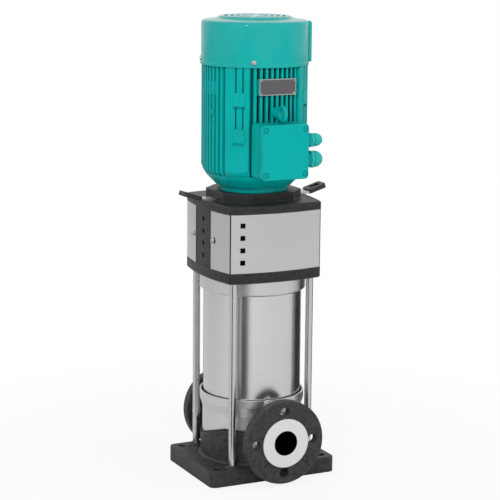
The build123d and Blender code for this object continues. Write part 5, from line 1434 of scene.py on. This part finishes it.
@dataclass
class RodWork:
    """Sleeve, head ring and the four tie rods with their nuts."""

    spacing: tuple[float, float] = (75.0 * MM, 77.5 * MM)
    seat: float = 380.6 * MM
    rod: float = 6.5 * MM
    across: float = 19.0 * MM
    nut: float = 10.0 * MM
    washer: float = 11.5 * MM
    washer_height: float = 2.5 * MM
    pitch: float = 1.0 * MM
    tip: float = 1.2 * MM

    def build(self, wardrobe: Wardrobe, copies: Copies) -> None:
        """Dress the rods and replace the nuts.

        Args:
            wardrobe: The finishes.
            copies: Tool that spreads copies.
        """
        wardrobe.dress(wardrobe.sleeve, "outer_sleeve")
        wardrobe.dress(wardrobe.head, "pump_head", "seal_cover")
        wardrobe.dress(wardrobe.rod, "tie_rods")
        wardrobe.dress(wardrobe.rubber, "sleeve_o_rings")
        corners = [(x * self.spacing[0], y * self.spacing[1]) for x in (-1.0, 1.0) for y in (-1.0, 1.0)]
        places = [Matrix.Translation((x, y, self.seat)) for x, y in corners]
        nuts = copies.spread("chamfered_nuts", self._nut(), places, wardrobe.fastener)
        belongs(nuts, "pump", "bright_steel", "tie_rod_nuts")
        start = self.seat + self.washer_height + self.nut + 0.2 * MM
        feet = [Vector((x, y, start)) for x, y in corners]
        helix = self.rod - 0.35 * MM
        tips = Thread().cut("rod_threads", feet, helix, self.pitch, self.tip, wardrobe.fastener)
        belongs(tips, "pump", "bright_steel")

    def _nut(self) -> bpy.types.Mesh:
        """Nut on its washer, with a bore and chamfered corners.

        Returns:
            The nut's mesh, standing on the origin.
        """
        solid = Solid()
        edge = 0.35 * MM
        low = self.washer_height
        high = low + self.nut
        washer = [
            (self.rod, 0.0),
            (self.washer - edge, 0.0),
            (self.washer, edge),
            (self.washer, low - edge),
            (self.washer - edge, low),
            (self.rod, low),
        ]
        solid.turned(washer, Matrix.Identity(4), 48, closed=True)
        flat = self.across / 2.0
        reach = flat / math.cos(math.pi / 6.0)
        drop = (reach - flat) * 0.6
        face = flat * 0.97
        steps = 48
        angles = [2.0 * math.pi * step / steps for step in range(steps)]
        rings = []
        for height, limit in ((low, face), (low + drop, reach), (high - drop, reach), (high, face)):
            ring = []
            for angle in angles:
                bend = (angle + math.pi / 6.0) % (math.pi / 3.0) - math.pi / 6.0
                wall = min(flat / math.cos(bend), limit)
                ring.append(solid.mesh.verts.new((wall * math.cos(angle), wall * math.sin(angle), height)))
            rings.append(ring)
        for height in (high, low):
            points = [(self.rod * math.cos(angle), self.rod * math.sin(angle), height) for angle in angles]
            rings.append([solid.mesh.verts.new(point) for point in points])
        for lower, upper in zip(rings, rings[1:] + rings[:1]):
            for step in range(steps):
                after = (step + 1) % steps
                solid.mesh.faces.new((lower[step], lower[after], upper[after], upper[step]))
        return solid.to_mesh("nut", 25.0)


@dataclass
class LanternWork:
    """Motor stool, guards, straps and coupling with their screws."""

    guard_seat: float = 97.58 * MM
    guard_y: float = 40.0 * MM
    guard_height: float = 432.55 * MM
    washer: float = 6.0 * MM
    washer_bore: float = 2.5 * MM
    washer_height: float = 1.0 * MM
    strap_x: float = 88.5 * MM
    strap_top: float = 502.0 * MM
    clamp_x: float = 20.0 * MM
    clamp_y: float = -15.0 * MM
    clamp_heights: tuple[float, float] = (420.0 * MM, 474.0 * MM)
    bolt_circle: float = 50.0 * MM
    bolt_seat: float = 484.5 * MM
    bolt_angles: tuple[float, ...] = (45.0, 135.0, 225.0, 315.0)

    def build(self, wardrobe: Wardrobe, copies: Copies) -> None:
        """Dress the lantern and replace its screws.

        Args:
            wardrobe: The finishes.
            copies: Tool that spreads copies.
        """
        wardrobe.dress(wardrobe.collar_cast, "lantern")
        wardrobe.dress(wardrobe.guard, "front_guard", "rear_guard")
        wardrobe.dress(wardrobe.strap, "right_lifting_strap", "left_lifting_strap")
        wardrobe.dress(wardrobe.black_plastic, "right_strap_grip", "left_strap_grip")
        wardrobe.dress(wardrobe.coupling, "coupling_half_front", "coupling_half_rear")
        self._guard_screws(wardrobe, copies)
        self._strap_screws(wardrobe, copies)
        self._coupling_screws(wardrobe, copies)
        self._motor_bolts(wardrobe, copies)

    def _guard_screws(self, wardrobe: Wardrobe, copies: Copies) -> None:
        """Pan-head screws on turned washers.

        Args:
            wardrobe: The finishes.
            copies: Tool that spreads copies.
        """
        screw = Screw(4.2 * MM, 2.6 * MM, 2.45 * MM, 10.0 * MM, Drive.CROSS)
        solid = Solid()
        solid.mesh.from_mesh(screw.mesh("guard_screw"))
        thick = self.washer_height
        bmesh.ops.translate(solid.mesh, verts=solid.mesh.verts, vec=(0.0, 0.0, thick))
        edge = 0.25 * MM
        washer = [
            (self.washer_bore, 0.0),
            (self.washer - edge, 0.0),
            (self.washer, edge),
            (self.washer, thick - edge),
            (self.washer - edge, thick),
            (self.washer_bore, thick),
        ]
        solid.turned(washer, Matrix.Identity(4), 40, closed=True)
        places = []
        for side in (-1.0, 1.0):
            for y in (-self.guard_y, self.guard_y):
                point = Vector((side * self.guard_seat, y, self.guard_height))
                places.append(facing(point, Vector((side, 0.0, 0.0)), 0.4 * side + y * 9.0))
        sample = solid.to_mesh("guard_screw_set")
        piece = copies.spread("guard_screws_crossed", sample, places, wardrobe.fastener)
        belongs(piece, "pump", "bright_steel", "guard_screws")

    def _strap_screws(self, wardrobe: Wardrobe, copies: Copies) -> None:
        """Countersunk socket screws in the straps.

        Args:
            wardrobe: The finishes.
            copies: Tool that spreads copies.
        """
        screw = Screw(6.0 * MM, 3.0 * MM, 3.0 * MM, 12.4 * MM, Drive.SOCKET, countersunk=True)
        places = [Matrix.Translation((side * self.strap_x, 0.0, self.strap_top)) for side in (-1.0, 1.0)]
        piece = copies.spread("strap_screws_socket", screw.mesh("strap_screw"), places, wardrobe.fastener)
        belongs(piece, "pump", "bright_steel", "strap_screws")

    def _coupling_screws(self, wardrobe: Wardrobe, copies: Copies) -> None:
        """Socket screws of the coupling.

        Args:
            wardrobe: The finishes.
            copies: Tool that spreads copies.
        """
        screw = Screw(5.0 * MM, 6.0 * MM, 3.0 * MM, 30.0 * MM, Drive.SOCKET, domed=0.1)
        places = [facing(Vector((x, self.clamp_y, z)), Vector((0.0, -1.0, 0.0)))
                  for x in (-self.clamp_x, self.clamp_x) for z in self.clamp_heights]
        sample = screw.mesh("coupling_screw")
        piece = copies.spread("coupling_screws_socket", sample, places, wardrobe.fastener)
        belongs(piece, "rotor", "bright_steel", "coupling_screws")

    def _motor_bolts(self, wardrobe: Wardrobe, copies: Copies) -> None:
        """Hexagon bolts that hold the motor from below.

        Args:
            wardrobe: The finishes.
            copies: Tool that spreads copies.
        """
        bolt = Screw(6.5 * MM, 5.3 * MM, 4.0 * MM, 25.9 * MM, Drive.HEX)
        seat = Vector((0.0, 0.0, self.bolt_seat))
        places = [facing(seat + heading(angle) * self.bolt_circle, Vector((0.0, 0.0, -1.0)))
                  for angle in self.bolt_angles]
        piece = copies.spread("motor_bolts_hexagon", bolt.mesh("motor_bolt"), places, wardrobe.fastener)
        belongs(piece, "pump", "bright_steel", "motor_flange_bolts")


@dataclass
class MotorWork:
    """Painted motor: frame, shields, cowl, plate and the inside parts."""

    cowl: float = 94.4 * MM
    cowl_screw_height: float = 744.0 * MM
    cowl_screw_angles: tuple[float, ...] = (-116.7, 63.3, 153.3)
    plate_front: float = 91.8 * MM
    plate_height: float = 702.0 * MM
    plate_half: tuple[float, float] = (35.0 * MM, 14.0 * MM)
    rivet_inset: float = 3.4 * MM
    rim_half: float = 0.7 * MM

    def build(self, wardrobe: Wardrobe, copies: Copies) -> None:
        """Dress the motor.

        Args:
            wardrobe: The finishes.
            copies: Tool that spreads copies.
        """
        wardrobe.dress(wardrobe.paint, "fan_end_shield", "drive_end_shield", "eye_bolt")
        wardrobe.dress(wardrobe.frame_paint, "motor_frame")
        wardrobe.dress(wardrobe.cowl_paint, "fan_cowl")
        wardrobe.dress(wardrobe.black_plastic, "fan")
        wardrobe.dress(wardrobe.core, "stator_core", "rotor_core")
        wardrobe.dress(wardrobe.copper, "windings")
        wardrobe.dress(wardrobe.shaft, "motor_shaft", "bearing_outer_rings", "bearing_inner_rings")
        wardrobe.dress(wardrobe.plate, "nameplate")
        self._cowl_screws(wardrobe, copies)
        self._plate(wardrobe, copies)

    def _cowl_screws(self, wardrobe: Wardrobe, copies: Copies) -> None:
        """Screws of the cowl.

        Args:
            wardrobe: The finishes.
            copies: Tool that spreads copies.
        """
        screw = Screw(4.4 * MM, 2.2 * MM, 2.45 * MM, 14.0 * MM, Drive.CROSS)
        places = []
        for angle in self.cowl_screw_angles:
            outward = heading(angle)
            point = outward * self.cowl + Vector((0.0, 0.0, self.cowl_screw_height))
            places.append(facing(point, outward, 0.5))
        piece = copies.spread("cowl_screws_crossed", screw.mesh("cowl_screw"), places, wardrobe.fastener)
        belongs(piece, "pump", "bright_steel", "cowl_screws")

    def _plate(self, wardrobe: Wardrobe, copies: Copies) -> None:
        """Raised rim and four rivets of the bare plate.

        Args:
            wardrobe: The finishes.
            copies: Tool that spreads copies.
        """
        outline = [
            (0.0, -0.8 * MM),
            (1.5 * MM, -0.8 * MM),
            (1.5 * MM, 0.1 * MM),
            (1.3 * MM, 0.5 * MM),
            (0.8 * MM, 0.8 * MM),
            (0.0, 0.9 * MM),
        ]
        rivet = Solid().turned(outline, Matrix.Identity(4), 20).to_mesh("rivet")
        half_x, half_z = self.plate_half
        middle = Vector((0.0, -self.plate_front, self.plate_height))
        places = []
        for x in (self.rivet_inset - half_x, half_x - self.rivet_inset):
            for z in (self.rivet_inset - half_z, half_z - self.rivet_inset):
                places.append(facing(middle + Vector((x, 0.0, z)), Vector((0.0, -1.0, 0.0))))
        rivets = copies.spread("plate_rivets", rivet, places, wardrobe.fastener)
        belongs(rivets, "pump", "bright_steel")
        width = self.rim_half
        rim = Solid()
        for x, z, thick_x, thick_z in ((half_x - width, 0.0, width, half_z),
                                       (width - half_x, 0.0, width, half_z),
                                       (0.0, half_z - width, half_x - 2.0 * width, width),
                                       (0.0, width - half_z, half_x - 2.0 * width, width)):
            outline = [(-thick_x, -thick_z), (thick_x, -thick_z), (thick_x, thick_z), (-thick_x, thick_z)]
            place = Matrix.Translation(middle + Vector((x, 0.0, z))) @ Matrix.Rotation(math.pi / 2.0, 4, "X")
            rim.prism(outline, -0.1 * MM, 0.3 * MM, place, 0.05 * MM)
        belongs(finished("plate_rim", rim, wardrobe.fastener), "pump", "plate_metal")


@dataclass
class BoxWork:
    """Terminal box with its cover screws, gasket and cable glands."""

    half_width: float = 44.5 * MM
    low: float = 545.5 * MM
    high: float = 641.0 * MM
    split: float = 112.0 * MM
    corner: float = 7.0 * MM
    cover: float = 124.5 * MM
    screw_x: float = 38.0 * MM
    screw_inset: float = 9.0 * MM
    gland_y: float = -99.0 * MM
    gland_reach: float = 13.0 * MM
    gland_shank: float = 17.0 * MM
    # Height and radius of each gland.
    glands: tuple[tuple[float, float], ...] = ((609.0 * MM, 12.5 * MM), (575.5 * MM, 15.5 * MM))

    def build(self, wardrobe: Wardrobe, copies: Copies) -> None:
        """Dress the box.

        Args:
            wardrobe: The finishes.
            copies: Tool that spreads copies.
        """
        wardrobe.dress(wardrobe.paint, "terminal_box", "terminal_box_cover")
        wardrobe.dress(wardrobe.black_plastic, "terminal_board")
        self._screws(wardrobe, copies)
        self._gasket(wardrobe)
        self._glands(wardrobe)

    def _screws(self, wardrobe: Wardrobe, copies: Copies) -> None:
        """Painted cover screws.

        Args:
            wardrobe: The finishes.
            copies: Tool that spreads copies.
        """
        screw = Screw(4.0 * MM, 2.4 * MM, 2.4 * MM, 23.4 * MM, Drive.CROSS)
        heights = (self.low + self.screw_inset, self.high - self.screw_inset)
        places = [facing(Vector((x, -self.cover, z)), Vector((0.0, -1.0, 0.0)), 0.3 + x * 20.0)
                  for x in (-self.screw_x, self.screw_x) for z in heights]
        piece = copies.spread("cover_screws_crossed", screw.mesh("cover_screw"), places, wardrobe.paint)
        belongs(piece, "pump", "teal_paint", "cover_screws")

    def _gasket(self, wardrobe: Wardrobe) -> None:
        """Thin dark gasket that shows between box and cover.

        Args:
            wardrobe: The finishes.
        """
        reach = self.corner + 0.15 * MM
        thick = 0.45 * MM
        centre = (self.low + self.high) / 2.0
        half = (self.high - self.low) / 2.0
        steps = 8
        outline = []
        for quarter, (sx, sz) in enumerate(((1, 1), (-1, 1), (-1, -1), (1, -1))):
            middle_x = sx * (self.half_width - self.corner)
            middle_z = sz * (half - self.corner)
            for step in range(steps + 1):
                angle = math.pi / 2.0 * (quarter + step / steps)
                outline.append((middle_x + reach * math.cos(angle), middle_z + reach * math.sin(angle)))
        place = Matrix.Translation((0.0, -self.split, centre)) @ Matrix.Rotation(math.pi / 2.0, 4, "X")
        solid = Solid().prism(outline, -thick, thick, place)
        belongs(finished("box_gasket", solid, wardrobe.rubber), "pump", "rubber")

    def _glands(self, wardrobe: Wardrobe) -> None:
        """Cable glands with hexagon bodies and fluted blind domes.

        Args:
            wardrobe: The finishes.
        """
        solid = Solid()
        start = self.half_width + self.gland_reach
        deep = self.gland_shank
        for height, radius in self.glands:
            place = facing(Vector((start, self.gland_y, height)), Vector((1.0, 0.0, 0.0)))
            shank = radius * 0.7
            face = radius * 0.9
            across = 2.0 * radius * 0.96 * math.cos(math.pi / 6.0) * 1.1
            solid.turned([(0.0, -deep), (shank, -deep), (shank, 0.0), (0.0, 0.0)], place, 32)
            solid.turned([(0.0, 0.0), (face, 0.0), (face, 1.2 * MM), (0.0, 1.2 * MM)], place, 48)
            solid.prism(regular(6, across), 1.0 * MM, 6.8 * MM, place, 0.8 * MM)
            dome = [
                (0.0, 6.4 * MM),
                (radius * 0.8, 6.4 * MM),
                (radius * 0.8, 7.4 * MM),
                (radius * 0.92, 7.8 * MM, 0.0),
                (radius * 0.92, 8.6 * MM, radius * 0.07),
                (radius * 0.92, 13.6 * MM, radius * 0.07),
                (radius * 0.82, 18.2 * MM, radius * 0.06),
                (radius * 0.68, 21.2 * MM, radius * 0.02),
                (radius * 0.55, 23.0 * MM),
                (radius * 0.42, 23.9 * MM),
                (radius * 0.40, 23.3 * MM),
                (0.0, 23.3 * MM),
            ]
            solid.turned(dome, place, 144, flutes=12)
        piece = finished("fluted_glands", solid, wardrobe.teal_plastic, 28.0)
        belongs(piece, "pump", "teal_plastic", "cable_glands")


@dataclass
class HydraulicsWork:
    """Stages, shaft and seal inside the sleeve."""

    stages: int = 4

    def build(self, wardrobe: Wardrobe, copies: Copies) -> None:
        """Dress the inside parts.

        Args:
            wardrobe: The finishes.
            copies: Not used.
        """
        for number in range(1, self.stages + 1):
            wardrobe.dress(wardrobe.casing, f"stage_casing_{number}", f"impeller_{number}")
        wardrobe.dress(wardrobe.casing, "shaft_spacers")
        wardrobe.dress(wardrobe.shaft, "pump_shaft", "seal_rotor")
        wardrobe.dress(wardrobe.carbon, "shaft_bush", "seal_seat")


# Name, place, side in metres and power in watts.
Lamp = tuple[str, tuple[float, float, float], float, float]


@dataclass(frozen=True)
class Studio:
    """Plain pale floor, soft lamps, white surroundings and the camera."""

    target: tuple[float, float, float] = (0.0, 0.0, 0.4)
    azimuth: float = -26.14
    elevation: float = 10.91
    distance: float = 3.17565
    roll: float = 0.56
    sensor: float = 36.0
    lens: float = 127.54512
    shift: tuple[float, float] = (-0.00548, 0.00144)
    floor_half: float = 9.0
    floor_white: float = 0.85
    floor_fade: tuple[float, float] = (0.25, 0.9)
    world_light: float = 0.54
    reflected: float = 0.95
    board_reach: tuple[float, float] = (0.30, 6.0)
    board_height: float = 0.002
    # Name of each dark sector, and the angles in degrees that it lies between.
    sectors: tuple[tuple[str, float, float], ...] = (
        ("near_board", -152.0, -124.0),
        ("far_board", -8.0, 38.0),
    )
    lamps: tuple[Lamp, ...] = (
        ("key_lamp", (-1.9, -2.4, 2.4), 0.9, 20.0),
        ("fill_lamp", (2.6, -1.6, 1.4), 1.2, 16.0),
        ("back_lamp", (0.6, 2.8, 2.2), 1.4, 14.0),
    )
    sparks: tuple[Lamp, ...] = (
        ("spark_lamp", (-1.7, -1.9, 1.6), 0.2, 12.0),
        ("side_spark_lamp", (-0.5, -2.6, 2.6), 0.24, 14.0),
    )

    def build(self) -> None:
        """Set everything up."""
        self._world()
        self._floor()
        self._boards()
        self._lamps()
        self._camera()
        bpy.context.scene.view_settings.view_transform = "Standard"

    def _world(self) -> None:
        """White to the camera, nearly so in reflections, and softer as a light."""
        world = bpy.data.worlds.new("studio_world")
        bpy.context.scene.world = world
        world.use_nodes = True
        work = NodeWork(world.node_tree)
        work.tree.nodes.clear()
        path = work.node("ShaderNodeLightPath", {}, {}).outputs
        light, shine, white = [
            work.node("ShaderNodeBackground", {}, {"Color": WHITE, "Strength": strength}).outputs[0]
            for strength in (self.world_light, self.reflected, 1.0)
        ]
        straight = {0: path["Is Camera Ray"], 1: path["Is Transmission Ray"]}
        seen = work.node("ShaderNodeMath", {"operation": "MAXIMUM"}, straight).outputs[0]
        bounced = {0: path["Is Glossy Ray"], 1: light, 2: shine}
        unseen = work.node("ShaderNodeMixShader", {}, bounced).outputs[0]
        mix = work.node("ShaderNodeMixShader", {}, {0: seen, 1: unseen, 2: white})
        work.node("ShaderNodeOutputWorld", {}, {"Surface": mix.outputs[0]})

    def _floor(self) -> None:
        """Pale floor that keeps a faint share of the pump's shadow."""
        half = self.floor_half
        mesh = bpy.data.meshes.new("floor")
        corners = [(-half, -half, 0.0), (half, -half, 0.0), (half, half, 0.0), (-half, half, 0.0)]
        mesh.from_pydata(corners, [], [(0, 1, 2, 3)])
        floor = new_object("floor", mesh)
        shader = Shader("pale_floor")
        speck = shader.grain(0.02, 3.0)
        tone = shader.blend(speck * 0.4, (0.9, 0.9, 0.9), (0.88, 0.88, 0.88))
        shader.finish({"Specular IOR Level": 0.0}, {"Base Color": tone, "Roughness": 0.7 + speck * 0.1})
        glow = shader.node("ShaderNodeEmission", {}, {"Color": WHITE, "Strength": 1.0}).outputs[0]
        seen = shader.level("ShaderNodeLightPath", "Is Camera Ray", {}, {})
        x, y, _ = shader.axes()
        far = (x * x + y * y).root().ramp(*self.floor_fade)
        amount = seen * (self.floor_white + far * (1.0 - self.floor_white))
        mix = shader.node("ShaderNodeMixShader", {}, {0: amount, 1: shader.body.outputs[0], 2: glow})
        shader.tree.links.new(mix.outputs[0], shader.output.inputs["Surface"])
        mesh.materials.append(shader.material)

    def _boards(self) -> None:
        """Dark sectors on the floor that only polished metal sees."""
        shader = Shader("dark_board")
        speck = shader.grain(0.05, 2.0)
        tone = shader.blend(speck, (0.02, 0.02, 0.02), (0.035, 0.035, 0.035))
        shader.finish({"Specular IOR Level": 0.0}, {"Base Color": tone, "Roughness": 0.8 + speck * 0.1})
        lift = Vector((0.0, 0.0, self.board_height))
        steps = 12
        for name, low, high in self.sectors:
            mesh = bpy.data.meshes.new(name)
            points = []
            for step in range(steps + 1):
                ray = heading(low + (high - low) * step / steps)
                points += [ray * reach + lift for reach in self.board_reach]
            faces = [(2 * step, 2 * step + 1, 2 * step + 3, 2 * step + 2) for step in range(steps)]
            mesh.from_pydata(points, [], faces)
            mesh.materials.append(shader.material)
            board = new_object(name, mesh)
            board.visible_camera = False
            board.visible_diffuse = False
            board.visible_shadow = False
            board.visible_transmission = False

    def _lamps(self) -> None:
        """Large lamps that reflections don't show, and small ones that they do."""
        for name, place, size, power in self.lamps:
            self._lamp(name, Vector(place), size, power).visible_glossy = False
        for name, place, size, power in self.sparks:
            self._lamp(name, Vector(place), size, power)

    def _lamp(self, name: str, place: Vector, size: float, power: float) -> bpy.types.Object:
        """One area lamp that looks at the pump.

        Args:
            name: The lamp's name.
            place: Where it hangs.
            size: Side of its square.
            power: Its power in watts.

        Returns:
            The lamp's holder.
        """
        lamp = bpy.data.lights.new(name, "AREA")
        lamp.size = size
        lamp.energy = power
        holder = bpy.data.objects.new(name, lamp)
        holder.matrix_world = facing(place, place - Vector(self.target))
        bpy.context.scene.collection.objects.link(holder)
        return holder

    def _camera(self) -> None:
        """Camera that looks at the target from its distance."""
        azimuth = math.radians(self.azimuth)
        elevation = math.radians(self.elevation)
        roll = math.radians(self.roll)
        flat = math.cos(elevation)
        back = Vector((math.sin(azimuth) * flat, -math.cos(azimuth) * flat, math.sin(elevation)))
        level = heading(self.azimuth)
        up = back.cross(level)
        right = level * math.cos(roll) + up * math.sin(roll)
        top = up * math.cos(roll) - level * math.sin(roll)
        camera = bpy.data.cameras.new("camera")
        camera.sensor_width = self.sensor
        camera.lens = self.lens
        camera.shift_x, camera.shift_y = self.shift
        camera.clip_end = 50.0
        holder = bpy.data.objects.new("camera", camera)
        turn = Matrix((right, top, back)).transposed().to_4x4()
        holder.matrix_world = Matrix.Translation(Vector(self.target) + back * self.distance) @ turn
        bpy.context.scene.collection.objects.link(holder)
        bpy.context.scene.camera = holder


def main() -> None:
    """Dress the pump and build the studio."""
    logging.basicConfig(level=logging.INFO, format="%(message)s")
    wardrobe = Wardrobe()
    copies = Copies()
    for work in (PortWork(), RodWork(), LanternWork(), MotorWork(), BoxWork(), HydraulicsWork()):
        LOG.info("%s", type(work).__name__)
        work.build(wardrobe, copies)
    Studio().build()


if __name__ == "__main__":
    main()
